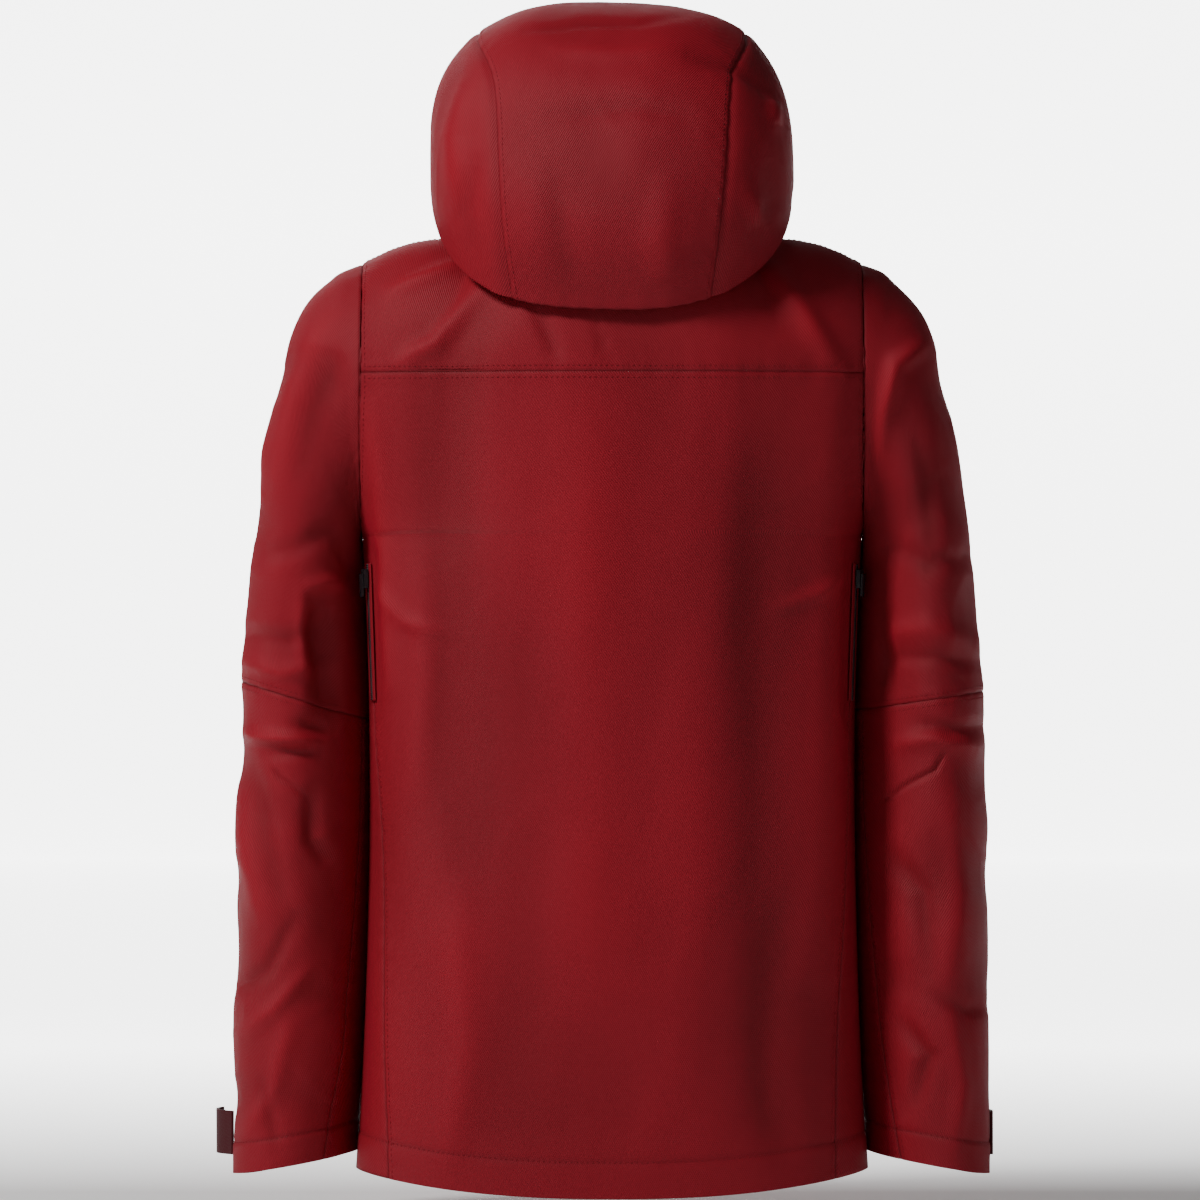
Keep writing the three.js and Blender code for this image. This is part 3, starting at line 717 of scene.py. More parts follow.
@dataclass(frozen=True)
class Torso:
    """The shape that the body's cut pieces lie on.

    A turn counts quarter turns from the centre back, 0, over the side, 1, to the centre front, 2.
    """

    hem: float = -0.7335
    hem_rise: float = 0.018
    underarm: float = -0.222
    yoke: float = -0.098
    shoulder: float = -0.012
    edge_half: float = 0.1946
    waist_half: float = 0.189
    waist: float = -0.420
    hem_half: float = 0.199
    back: float = 0.120
    back_hem: float = 0.114
    front_hem: float = 0.114
    lean: float = 0.0175
    armhole: float = 0.076
    neck_half: float = 0.084
    neck_back: float = 0.074
    neck_back_z: float = 0.005
    neck_front_z: float = -0.040
    neck_share: float = 38 / 90
    collar_top: float = 0.058
    ridge_swell: float = 0.013
    gore: float = 0.36
    roundness: float = 0.85
    armhole_ease: float = 1.4
    zip_half: float = 0.0074
    yoke_zip_half: float = 0.0078
    hem_turned: float = 0.028

    def half_width(self, z: Grid) -> Grid:
        """Half the width: a parabola each way from the waist.

        Args:
            z: heights, in metres.

        Returns:
            Half widths.
        """
        end = np.where(z < self.waist, self.hem, self.underarm)
        extra = np.where(z < self.waist, self.hem_half, self.edge_half) - self.waist_half
        return self.waist_half + extra * ((z - self.waist) / (end - self.waist)) ** 2

    def zip_share(self) -> float:
        """The quarter turns from the centre front to the edge of the front zip."""
        return math.asin((self.zip_half / self.waist_half) ** (1 / self.roundness)) / QUARTER

    def front_depth(self, z: Grid) -> Grid:
        """Centre line to the straight front zip.

        Args:
            z: heights, in metres.

        Returns:
            Depths.
        """
        return self.front_hem - self.lean * (z - self.hem)

    def armhole_depth(self, z: Grid) -> Grid:
        """Half the armhole front to back: an ellipse below and above the yoke seam.

        Args:
            z: heights, in metres.

        Returns:
            Half depths.
        """
        reach = np.where(z < self.yoke, self.yoke - self.underarm, self.shoulder - self.yoke)
        return self.armhole * np.sqrt(np.maximum(0, 1 - ((z - self.yoke) / reach) ** 2))

    def point(self, turn: Grid, height: Grid) -> Grid:
        """A point below the yoke seam.

        x is half * sin(q)^0.85 and y runs from the armhole's edge to the full depth as cos(q)^power,
        with q the quarter turn, so that each section is a rounded box that opens to the armhole.

        Args:
            turn: quarter turns from the centre back; negative ones are on the wearer's right.
            height: level before the hem's rise to the sides is added.

        Returns:
            Points in space.
        """
        turn, height = np.broadcast_arrays(np.asarray(turn, float), np.asarray(height, float))
        front = turn > 1
        quarter = np.where(front, 2 - turn, turn) * QUARTER
        share = np.clip((height - self.hem) / (self.underarm - self.hem), 0, 1)
        rise = np.where(front, 1, np.sin(quarter) ** 2)
        z = height + self.hem_rise * rise * (1 - share)
        high = height > self.underarm
        edge = np.where(high, self.armhole_depth(height), 0)
        half = np.where(high, self.edge_half, self.half_width(height))
        back = mix(self.back_hem, self.back, smooth(height, self.hem, self.yoke))
        depth = np.where(front, self.front_depth(z), back)
        power = mix(self.roundness, 2, (edge / self.armhole) ** self.armhole_ease)
        x = half * np.abs(np.sin(quarter)) ** self.roundness * np.sign(quarter)
        y = edge + (depth - edge) * np.maximum(0, np.cos(quarter)) ** power
        return place(x, np.where(front, -y, y), z)

    def top(self, turn: Grid) -> Grid:
        """The neck seam, then the shoulder seam out to the armhole.

        Args:
            turn: quarter turns from the centre back.

        Returns:
            Points in space.
        """
        front = turn > 1
        share = np.where(front, 2 - turn, turn) / self.neck_share
        angle = np.clip(share, -1, 1) * QUARTER
        depth = np.where(front, -self.front_depth(self.neck_front_z), self.neck_back)
        low = np.where(front, self.neck_front_z, self.neck_back_z)
        neck = place(self.neck_half * np.sin(angle), depth * np.cos(angle), low * np.cos(angle) ** 2)
        out = np.maximum(0, (np.abs(share) - 1) / (1 / self.neck_share - 1))
        level = self.shoulder * out + self.ridge_swell * 4 * out * np.maximum(0, 1 - out)
        ridge = place(np.sign(share) * mix(self.neck_half, self.edge_half, out), 0.0, level)
        return np.where((np.abs(share) <= 1)[..., None], neck, ridge)

    def yoke_point(self, turn: Grid, rise: Grid) -> Grid:
        """A point of a yoke: a quarter ellipse from the yoke seam, rising upright, to the top.

        Args:
            turn: quarter turns from the centre back.
            rise: how far up, from 0 to 1.

        Returns:
            Points in space.
        """
        turn, rise = np.broadcast_arrays(np.asarray(turn, float), np.asarray(rise, float))
        low, top, angle = self.point(turn, self.yoke), self.top(turn), rise * QUARTER
        x = mix(low[..., 0], top[..., 0], 1 - np.cos(angle))
        y = top[..., 1] + (low[..., 1] - top[..., 1]) * np.cos(angle)
        return place(x, y, low[..., 2] + (top[..., 2] - low[..., 2]) * np.sin(angle))

    def gore_turn(self, height: Grid) -> Grid:
        """The turn at which the side panel meets the back: it narrows to a point under the arm.

        Args:
            height: heights, in metres.

        Returns:
            Quarter turns.
        """
        fall = np.clip((self.underarm - height) / (self.underarm - self.hem), 0, 1)
        return 1 - self.gore * (0.12 + 0.88 * fall**0.8) * (height < self.underarm)

    def core(self, points: Grid) -> Grid:
        """The line inside the body that its cloth faces away from.

        Args:
            points: places, in metres.

        Returns:
            Points in space.
        """
        return place(0.0 * points[..., 0], 0.0, np.minimum(points[..., 2], self.yoke))


BACK_FOLDS = (
    Fold(((112, -12), (142, -24), (171, -35)), 4.5, 7),
    Fold(((100, -29), (136, -75), (162, -89)), 5.2, 8),
    Fold(((100, -37), (121, -77), (126, -152), (130, -242), (122, -352), (108, -500)), -7.0, 28),
    Fold(((186, -127), (178, -173), (175, -235), (172, -340)), 4.0, 9),
    Fold(((-120, -16), (-147, -54), (-172, -92)), 6.0, 10),
    Fold(((17, -102), (17, -242), (9, -430), (4, -560)), 5.2, 34),
    Fold(((-170, -110), (-167, -274), (-164, -430), (-160, -560)), 6.0, 16),
    Fold(((-117, -110), (-115, -274), (-119, -430), (-116, -600)), -6.0, 24),
    Fold(((60, -47), (41, -87)), -3.0, 6),
    Fold(((13, -56), (4, -93)), -1.8, 2.5),
    Fold(((150, -240), (146, -330), (152, -420)), 3.8, 12),
    Fold(((-60, -330), (-66, -480), (-58, -690)), 3.0, 30),
    Fold(((60, -430), (66, -560), (76, -690)), -3.0, 26),
    Fold(((120, -500), (112, -620), (128, -720)), 3.6, 14),
    Fold(((-128, -520), (-120, -640), (-134, -720)), -3.6, 15),
    Fold(((-182, -250), (-160, -268), (-130, -280)), 2.7, 6),
    Fold(((182, -262), (160, -290), (128, -300)), 2.7, 6),
)


@dataclass(frozen=True)
class Stitching:
    """A row of topstitches: short threads laid along a line on the cloth."""

    pitch: float = 0.0042
    length: float = 0.0030
    radius: float = 0.00032
    sides: int = 3


class Sewing:
    """Gathers topstitches along lines and makes them into one mesh for each body."""

    def __init__(self, size: Stitching = Stitching()) -> None:
        """Starts with no stitches.

        Args:
            size: the stitch's lengths.
        """
        self.size = size
        self.points: list[Grid] = []
        self.faces: list[Grid] = []
        self.count = 0

    def row(self, line: Grid, normal: Grid) -> None:
        """Lays stitches along a line.

        Each stitch is a closed spindle: two rings over the cloth, and two tips that dive into it.

        Args:
            line: points along the cloth's surface.
            normal: the way out of the cloth at each point.
        """
        size = self.size
        run = np.concatenate([[0], np.cumsum(np.linalg.norm(np.diff(line, axis=0), axis=1))])
        number = int(run[-1] / size.pitch)
        if number < 1:
            return
        middle = (np.arange(number) + 0.5) * size.pitch
        stations = middle[:, None] + np.array([-0.5, -0.25, 0.25, 0.5]) * size.length
        at = np.stack([np.interp(stations, run, line[:, k]) for k in range(3)], -1)
        up = unit(np.stack([np.interp(middle, run, normal[:, k]) for k in range(3)], -1))
        along = unit(at[:, -1] - at[:, 0])
        across = np.cross(along, up)
        angle = np.arange(size.sides) * TURN / size.sides
        wide = np.array([0.0, 1.0, 1.0, 0.0]) * size.radius
        sink = np.array([-1.3, 0.5, 0.5, -1.3]) * size.radius
        ring = (across[:, None, None] * np.cos(angle)[None, None, :, None]
                + up[:, None, None] * np.sin(angle)[None, None, :, None])
        sunk = (up[:, None] * sink[1:3, None])[:, :, None]
        points = at[:, 1:3, None] + ring * wide[None, 1:3, None, None] + sunk
        ends = at[:, [0, 3]] + up[:, None] * sink[[0, 3], None]
        each = 2 * size.sides + 2
        block = np.concatenate([points.reshape(number, -1, 3), ends], 1)
        s = size.sides
        k = np.arange(s)
        n = (k + 1) % s
        body = np.stack([k, n, n + s, k + s], 1)
        tip = np.stack([n, k, np.full(s, 2 * s), np.full(s, 2 * s)], 1)
        tail = np.stack([k + s, n + s, np.full(s, 2 * s + 1), np.full(s, 2 * s + 1)], 1)
        faces = np.concatenate([body, tip, tail])
        start = self.count + np.arange(number) * each
        self.points.append(block.reshape(-1, 3))
        self.faces.append((faces[None] + start[:, None, None]).reshape(-1, 4))
        self.count += number * each

    def finish(self, name: str) -> bpy.types.Object:
        """Makes the gathered stitches into one mesh.

        Args:
            name: the object's name.

        Returns:
            The mesh object.
        """
        faces = [list(dict.fromkeys(face)) for face in np.concatenate(self.faces).tolist()]
        obj = new_mesh(name, np.concatenate(self.points), faces)
        self.points, self.faces, self.count = [], [], 0
        return obj


def seam_line(piece: Piece, edge: int, inset: float) -> tuple[Grid, Grid]:
    """The line on a cloth piece at one distance from one of its edges.

    Args:
        piece: the cloth.
        edge: 0 first row, 1 last row, 2 first column, 3 last column.
        inset: distance from the edge.

    Returns:
        The points and the normals along the line.
    """
    outer = piece.shaped()[0]
    normal = piece.normals(outer)
    rows, cols = piece.lengths()
    gap = (rows, rows[-1:] - rows, cols, cols[:, -1:] - cols)[edge]
    axis = 0 if edge < 2 else 1
    if edge in (1, 3):
        gap, outer, normal = (np.flip(part, axis) for part in (gap, outer, normal))
    if axis == 0:
        gap, outer, normal = gap.T, outer.transpose(1, 0, 2), normal.transpose(1, 0, 2)
    lines = []
    for part in (outer, normal):
        lines.append(np.array([[np.interp(inset, gap[i], part[i, :, k]) for k in range(3)]
                               for i in range(gap.shape[0])]))
    return lines[0], unit(lines[1])


# ---- the workshop: cloth pieces to objects on bodies ----


@dataclass(frozen=True)
class Bend:
    """Where a piece crosses a joint: the body before start, the body after end, and the two places; nothing
    reads them, and a piece given a bend stays fixed in place.
    """

    first: str
    second: str
    start: tuple[float, float, float]
    end: tuple[float, float, float]


Holder = str | Bend


def hold(obj: bpy.types.Object, holder: Holder) -> None:
    """Lets an object ride on a body; an object given a bend is only fixed in place, its place baked into its
    mesh.

    Args:
        obj: the object.
        holder: the body it rides on, or a bend, which only fixes it in place.
    """
    if isinstance(holder, Bend):
        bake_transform(obj)
    else:
        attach(obj, holder)


class Workshop:
    """Turns cut pieces into finished objects, and keeps the stitches of each holder together."""

    def __init__(self, wardrobe: Wardrobe) -> None:
        """Opens the workshop.

        Args:
            wardrobe: the built finishes.
        """
        self.wardrobe = wardrobe
        self.sewing = Sewing()

    def cloth(self, piece: Piece, finish: Finish, slot: str, holder: Holder,
              stands_for: Sequence[str] = (), sheet: bool = True) -> bpy.types.Object:
        """Makes one cloth piece.

        Args:
            piece: the cut cloth.
            finish: its material.
            slot: not used.
            holder: the body it rides on, or a bend, which only fixes it in place.
            stands_for: CAD nodes it replaces.
            sheet: not used.

        Returns:
            The mesh object.
        """
        obj = sew(piece)
        self.wardrobe.dress(obj, finish, slot)
        hold(obj, holder)
        if stands_for:
            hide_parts(*stands_for)
        return obj

    def solid(self, obj: bpy.types.Object, finish: Finish, slot: str, holder: Holder,
              stands_for: Sequence[str] = ()) -> bpy.types.Object:
        """Finishes a piece that isn't cloth.

        Args:
            obj: the object.
            finish: its material.
            slot: not used.
            holder: the body it rides on, or a bend, which only fixes it in place.
            stands_for: CAD nodes it replaces.

        Returns:
            The same object.
        """
        self.wardrobe.dress(obj, finish, slot)
        hold(obj, holder)
        if stands_for:
            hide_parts(*stands_for)
        return obj

    def shell(self, piece: Piece, holder: Holder, node: str) -> None:
        """Makes a sheet of the outer shell in place of one CAD node.

        Args:
            piece: the cut cloth.
            holder: the body it rides on, or a bend, which only fixes it in place.
            node: the CAD node it replaces.
        """
        self.cloth(piece, Finish.SHELL, "shell_laminate", holder, [node])

    def trim(self, piece: Piece, holder: Holder, node: str, sheet: bool = True) -> None:
        """Makes a piece of the darker trim in place of one CAD node.

        Args:
            piece: the cut cloth.
            holder: the body it rides on, or a bend, which only fixes it in place.
            node: the CAD node it replaces.
            sheet: not used.
        """
        self.cloth(piece, Finish.TRIM, "dark_laminate", holder, [node], sheet)

    def topstitch(self, piece: Piece, edges: Sequence[int], inset: float = 0.0045) -> None:
        """Lays a row of stitches along some edges of a piece.

        Args:
            piece: the cut cloth.
            edges: which edges: 0 first row, 1 last row, 2 first column, 3 last column.
            inset: distance from the edge.
        """
        for edge in edges:
            self.sewing.row(*seam_line(piece, edge, inset))

    def stitches(self, name: str, holder: Holder, finish: Finish = Finish.SHELL) -> None:
        """Makes the rows laid since the last call into one object on one holder.

        Args:
            name: the piece's name.
            holder: the body it rides on, or a bend, which only fixes it in place.
            finish: its material.
        """
        if self.sewing.points:
            self.solid(self.sewing.finish(name), finish, "shell_laminate", holder)


@dataclass(frozen=True)
class ZipRun:
    """Where a zip lies on the body: its turn and its lower and upper heights."""

    turn: float
    low: float
    high: float


HAND_ZIP = ZipRun(1.48, -0.600, -0.430)
PIT_ZIP = ZipRun(0.84, -0.356, -0.246)
BAG_TURNS = (1.3, 1.66)
BAG_LOW = -0.630


class Body:
    """The cut pieces of the body: back, side and front panels, yokes, collar and facings."""

    def __init__(self, shape: Torso, shop: Workshop) -> None:
        """Keeps the shape and the workshop.

        Args:
            shape: the body's shape.
            shop: the workshop.
        """
        self.shape = shape
        self.shop = shop
        self.crumple = Crumple(seed=11, wavelength=0.16, swell=0.0016, crease=0.0002)
        self.fine = Crumple(seed=29, wavelength=0.05, swell=0.00022, crease=0.00008, sharpness=0.4)

    def lift(self, points: Grid) -> Grid:
        """Height of the cloth over its smooth shape: creasing everywhere and folds at the back.

        Args:
            points: places, in metres.

        Returns:
            Heights, in metres.
        """
        behind = smooth(points[..., 1], -0.01, 0.03)
        folds = fold_height(BACK_FOLDS, points[..., 0], points[..., 2]) * behind
        high = self.crumple.height(points) + self.fine.height(points)
        near_hem = smooth(points[..., 2], self.shape.hem + 0.004, self.shape.hem + 0.06)
        open_side = smooth(np.abs(points[..., 1]), 0.0, 0.06) * smooth(self.zip_distance(points), 0.008, 0.03)
        return (high + folds) * (0.35 + 0.65 * near_hem) * mix(0.04, 1.0, open_side)

    def zip_distance(self, points: Grid) -> Grid:
        """Distance from each point to the nearest hand or underarm zip, where the cloth is held flat.

        Args:
            points: places, in metres.

        Returns:
            Distances, in metres.
        """
        nearest = np.full(points.shape[:-1], 1.0)
        for run in (HAND_ZIP, PIT_ZIP):
            for height in np.linspace(run.low, run.high, 24):
                at = self.shape.point(run.turn, height)
                gap = place(np.abs(points[..., 0]) - at[0], points[..., 1] - at[1], points[..., 2] - at[2])
                nearest = np.minimum(nearest, np.linalg.norm(gap, axis=-1))
        return nearest

    def piece(self, name: str, points: Grid, edges: tuple[Edge, Edge, Edge, Edge]) -> Piece:
        """A piece of the shell, lifted by its folds.

        Args:
            name: the piece's name.
            points: places, in metres.
            edges: how its four borders end.

        Returns:
            The cut piece.
        """
        return Piece(name, points, self.shape.core(points), edges, lift=self.lift(points),
                     hem=self.shape.hem_turned)

    def panels(self) -> None:
        """The back, the side gores and the fronts, from the hem to the yoke seam."""
        shape = self.shape
        rows = close_ends(shape.hem, shape.yoke, 220, 0.64)[:, None]
        gore = shape.gore_turn(rows)
        across = close_ends(-1, 1, 160, 0.44)[None, :]
        back = self.piece("back_panel_cloth", shape.point(across * gore, rows),
                          (Edge.HEM, Edge.SEAM, Edge.SEAM, Edge.SEAM))
        self.shop.shell(back, "jacket_body", "back_panel")
        self.shop.topstitch(back, (1, 2, 3))
        self.shop.topstitch(back, (0,), shape.hem_turned)
        low = np.linspace(shape.hem, shape.underarm, 190)[:, None]
        for name, side in SIDES:
            flip = np.array([side, 1, 1])
            open_low = 1 - shape.gore_turn(low)
            points = shape.point(1 + close_ends(-1, 1, 50, 0.12)[None, :] * open_low, low) * flip
            gored = self.piece("side_panel_" + name + "_cloth", points,
                               (Edge.HEM, Edge.RAW, Edge.SEAM, Edge.SEAM))
            self.shop.shell(gored, "jacket_body", "side_panel_" + name)
            self.shop.topstitch(gored, (0,), shape.hem_turned)
            zip_turn = 2 - shape.zip_share()
            points = shape.point(mix(2 - gore, zip_turn, close_ends(0, 1, 90, 0.2)[None, :]), rows) * flip
            front = self.piece("front_panel_" + name + "_cloth", points,
                               (Edge.HEM, Edge.SEAM, Edge.SEAM, Edge.SEAM))
            self.shop.shell(front, "jacket_body", "front_panel_" + name)
            self.shop.topstitch(front, (1, 2, 3))
            self.shop.topstitch(front, (0,), shape.hem_turned)

    def yokes(self) -> None:
        """The back yoke over both shoulders and the front yokes down to the front yoke seam."""
        shape = self.shape
        rise = close_ends(0.0, 1.0, 80, 0.12)[:, None]
        back = self.piece("back_yoke_cloth", shape.yoke_point(close_ends(-1, 1, 200, 0.44)[None, :], rise),
                          (Edge.SEAM,) * 4)
        self.shop.shell(back, "jacket_body", "back_yoke")
        self.shop.topstitch(back, (0, 1, 2, 3))
        for name, side in SIDES:
            end = self.zip_turns(rise[:, 0])[:, None]
            share = close_ends(0, 1, 100, 0.2)[None, :]
            points = shape.yoke_point(mix(1.0 + 1e-6, end, share), rise) * np.array([side, 1, 1])
            front = self.piece("front_yoke_" + name + "_cloth", points, (Edge.SEAM,) * 4)
            self.shop.shell(front, "jacket_body", "front_yoke_" + name)
            self.shop.topstitch(front, (0, 2, 3))

    def zip_turns(self, rise: Grid) -> Grid:
        """The turn at which a front yoke reaches the zip at each rise, found by halving.

        Args:
            rise: how far up the yoke, from 0 to 1.

        Returns:
            Quarter turns.
        """
        far, near = np.full(rise.shape, 1.5), np.full(rise.shape, 2.0)
        for _ in range(30):
            middle = (far + near) / 2
            outside = self.shape.yoke_point(middle, rise)[..., 0] > self.shape.yoke_zip_half
            far, near = np.where(outside, middle, far), np.where(outside, near, middle)
        return far

    def collar_point(self, angle: Grid, rise: Grid) -> Grid:
        """A point of the standing collar: an oval drawn up from the neck seam.

        Args:
            angle: the angle round it, in radians.
            rise: how far up, from 0 to 1.

        Returns:
            Points in space.
        """
        shape = self.shape
        front = np.abs(angle) > QUARTER
        base = np.where(front, shape.neck_front_z, shape.neck_back_z) * np.cos(angle) ** 2 + 0.0012
        z = mix(base, shape.collar_top, rise)
        depth = np.where(front, shape.front_depth(z), shape.neck_back)
        return place(shape.neck_half * np.sin(angle), depth * np.cos(angle), z)

    def inside(self) -> None:
        """The collar, the hem facing, the pocket bags and the hanger loop."""
        shape = self.shape
        end = math.pi - math.asin(shape.zip_half / shape.neck_half)
        angle, rise = np.linspace(-end, end, 300)[None, :], np.linspace(0, 1, 40)[:, None]
        points = self.collar_point(angle, rise)
        core = place(0 * points[..., 0], 0, points[..., 2])
        collar = Piece("collar_cloth", points, core, (Edge.SEAM, Edge.HEM, Edge.SEAM, Edge.SEAM),
                       wall=0.0028, lift=0.5 * self.fine.height(points), hem=0.006)
        self.shop.shell(collar, "jacket_body", "collar")
        self.shop.topstitch(collar, (1,), 0.006)
        zip_turn = shape.zip_share()
        turn = np.linspace(zip_turn - 2, 2 - zip_turn, 300)[None, :]
        rows = np.linspace(shape.hem + 0.001, shape.hem + 0.024, 12)[:, None]
        points = shape.point(np.abs(turn), rows) * np.stack(
            [np.where(turn < 0, -1.0, 1.0), np.ones(turn.shape), np.ones(turn.shape)], -1)
        core = place(0 * points[..., 0], 0, points[..., 2])
        facing = Piece("hem_facing_cloth", points, core, (Edge.RAW, Edge.SEAM, Edge.RAW, Edge.RAW),
                       wall=0.0010, lift=-0.0062)
        self.shop.trim(facing, "jacket_body", "hem_facing")
        for name, side in SIDES:
            turn = np.linspace(*BAG_TURNS, 40)[None, :]
            rows = np.linspace(BAG_LOW, HAND_ZIP.high, 60)[:, None]
            points = shape.point(turn, rows) * np.array([side, 1, 1])
            bag = Piece("pocket_bag_" + name + "_cloth", points, shape.core(points), (Edge.RAW,) * 4,
                        wall=0.0008, lift=-0.0070)
            self.shop.cloth(bag, Finish.TAPE, "lining", "jacket_body", ["pocket_bag_" + name])
        half, stand = 0.024, 0.008
        u = np.linspace(-1, 1, 60)[None, :]
        out = np.minimum(1, 1.25 * (1 - u * u))
        root = shape.neck_back * math.cos(math.asin(half / shape.neck_half)) - 0.0037
        across = np.linspace(-0.004, 0.004, 10)[:, None]
        points = place(half * u, root - stand * out, 0.016 - 0.012 * out + across)
        loop = Piece("hanger_loop_strap", points, 0 * points, (Edge.RAW,) * 4, wall=0.0013)
        self.shop.cloth(loop, Finish.TAPE, "zip_tape", "jacket_body", ["hanger_loop"], sheet=False)

    def build(self) -> None:
        """Makes every piece of the body."""
        self.panels()
        self.yokes()
        self.inside()
        self.shop.stitches("body_topstitching", "jacket_body")
        LOG.info("body made")


# ---- sleeves ----


@dataclass(frozen=True)
class SleeveSize:
    """The sleeve's own lengths, for the wearer's left side."""

    inner: float = 0.2018
    waist_inner: float = 0.1898
    outer: float = 0.294
    waist: float = -0.420
    elbow: float = -0.352
    cuff: float = -0.720
    armhole: float = 0.076
    elbow_depth: float = 0.066
    cuff_depth: float = 0.056
    armhole_widest: float = 0.124 / 0.211
    cuff_rise: float = 0.017
    forward: float = 0.026
    tuck: float = 0.0030
    hangs_from: tuple[float, float] = (0.222, 0.262)
    armhole_bend: tuple[tuple[float, float, float], ...] = ((0.195, 0, -0.222), (0.251, 0, -0.250))
    elbow_bend: tuple[tuple[float, float, float], ...] = ((0.24, 0, -0.372), (0.24, 0, -0.460))
    tab_turn: float = 0.052 / 0.050625
    underarm_line: tuple[tuple[float, float, float], ...] = (
        (0.1948, 0, -0.222), (0.1949, 0, -0.223), (0.1949, 0, -0.230), (0.1939, 0, -0.248),
        (0.1919, 0, -0.300), (0.1905, 0, -0.352))
    shoulder_line: tuple[tuple[float, float, float], ...] = (
        (0.1948, 0, -0.012), (0.2170, 0, -0.023), (0.2460, 0, -0.060), (0.2680, 0, -0.151),
        (0.2805, 0, -0.252), (0.2885, 0, -0.352))

    def inner_line(self, z: Grid) -> Grid:
        """Where the inside of the forearm hangs: it follows the body as a parabola from the waist.

        Args:
            z: heights, in metres.

        Returns:
            Distances from the middle of the jacket.
        """
        share = np.clip((z - self.waist) / (self.cuff - self.waist), -1, 1)
        return mix(self.waist_inner, self.inner, share**2)


@dataclass(frozen=True)
class SleeveLook:
    """What differs between the two sleeves: the slant of the elbow seam and the folds behind."""

    elbow_slant: float
    folds: tuple[Fold, ...]
    seed: int


LEFT_FOLDS = (
    Fold(((226, -278), (224, -313), (221, -356)), -11.0, 12),
    Fold(((240, -272), (240, -300), (236, -330)), 4.5, 6),
    Fold(((238, -264), (222, -260), (204, -262)), 4.0, 6),
    Fold(((243, -370), (217, -375)), -4.7, 6),
    Fold(((266, -391), (229, -391)), -4.0, 6),
    Fold(((285, -378), (255, -381), (232, -383)), 5.0, 6),
    Fold(((278, -405), (269, -460), (254, -508)), -4.7, 10),
    Fold(((290, -420), (284, -470), (272, -520)), 4.7, 9),
    Fold(((232, -423), (232, -460), (217, -479)), -4.7, 7),
    Fold(((262, -405), (257, -411), (235, -427)), -2.5, 2.2),
    Fold(((272, -648), (259, -699)), -3.7, 6),
    Fold(((250, -600), (262, -650), (285, -690)), 3.4, 8),
    Fold(((245, -520), (268, -560), (290, -575)), -3.7, 7),
    Fold(((236, -560), (262, -590), (288, -612)), 3.7, 7),
    Fold(((215, -95), (232, -130), (240, -175)), -4.7, 12),
    Fold(((222, -60), (246, -110), (262, -190)), 5.0, 12),
    Fold(((210, -215), (240, -232), (272, -240)), -3.1, 8),
    Fold(((214, -290), (250, -305), (284, -300)), -3.4, 8),
    Fold(((222, -325), (256, -330), (284, -322)), 3.7, 7),
)
RIGHT_FOLDS = (
    Fold(((-206, -265), (-208, -320), (-205, -340)), -6.5, 10),
    Fold(((-239, -77), (-218, -93), (-206, -136), (-202, -173)), 5.8, 8),
    Fold(((-203, -433), (-227, -417), (-250, -405), (-257, -393)), -2.5, 2.4),
    Fold(((-225, -601), (-245, -627), (-231, -668)), -4.6, 7),
    Fold(((-240, -370), (-262, -374), (-288, -372)), -4.3, 7),
    Fold(((-222, -385), (-250, -380), (-280, -388)), 4.3, 7),
    Fold(((-216, -470), (-240, -500), (-246, -560)), -4.3, 9),
    Fold(((-262, -430), (-270, -500), (-262, -560)), 4.3, 11),
    Fold(((-262, -600), (-272, -650), (-266, -700)), 3.8, 8),
    Fold(((-250, -580), (-276, -592), (-290, -590)), -2.9, 6),
    Fold(((-228, -130), (-246, -180), (-248, -250)), -4.6, 12),
    Fold(((-214, -230), (-246, -246), (-276, -240)), -3.2, 8),
    Fold(((-212, -300), (-244, -296), (-280, -306)), 3.8, 9),
    Fold(((-215, -318), (-250, -318), (-282, -322)), -2.9, 6),
)


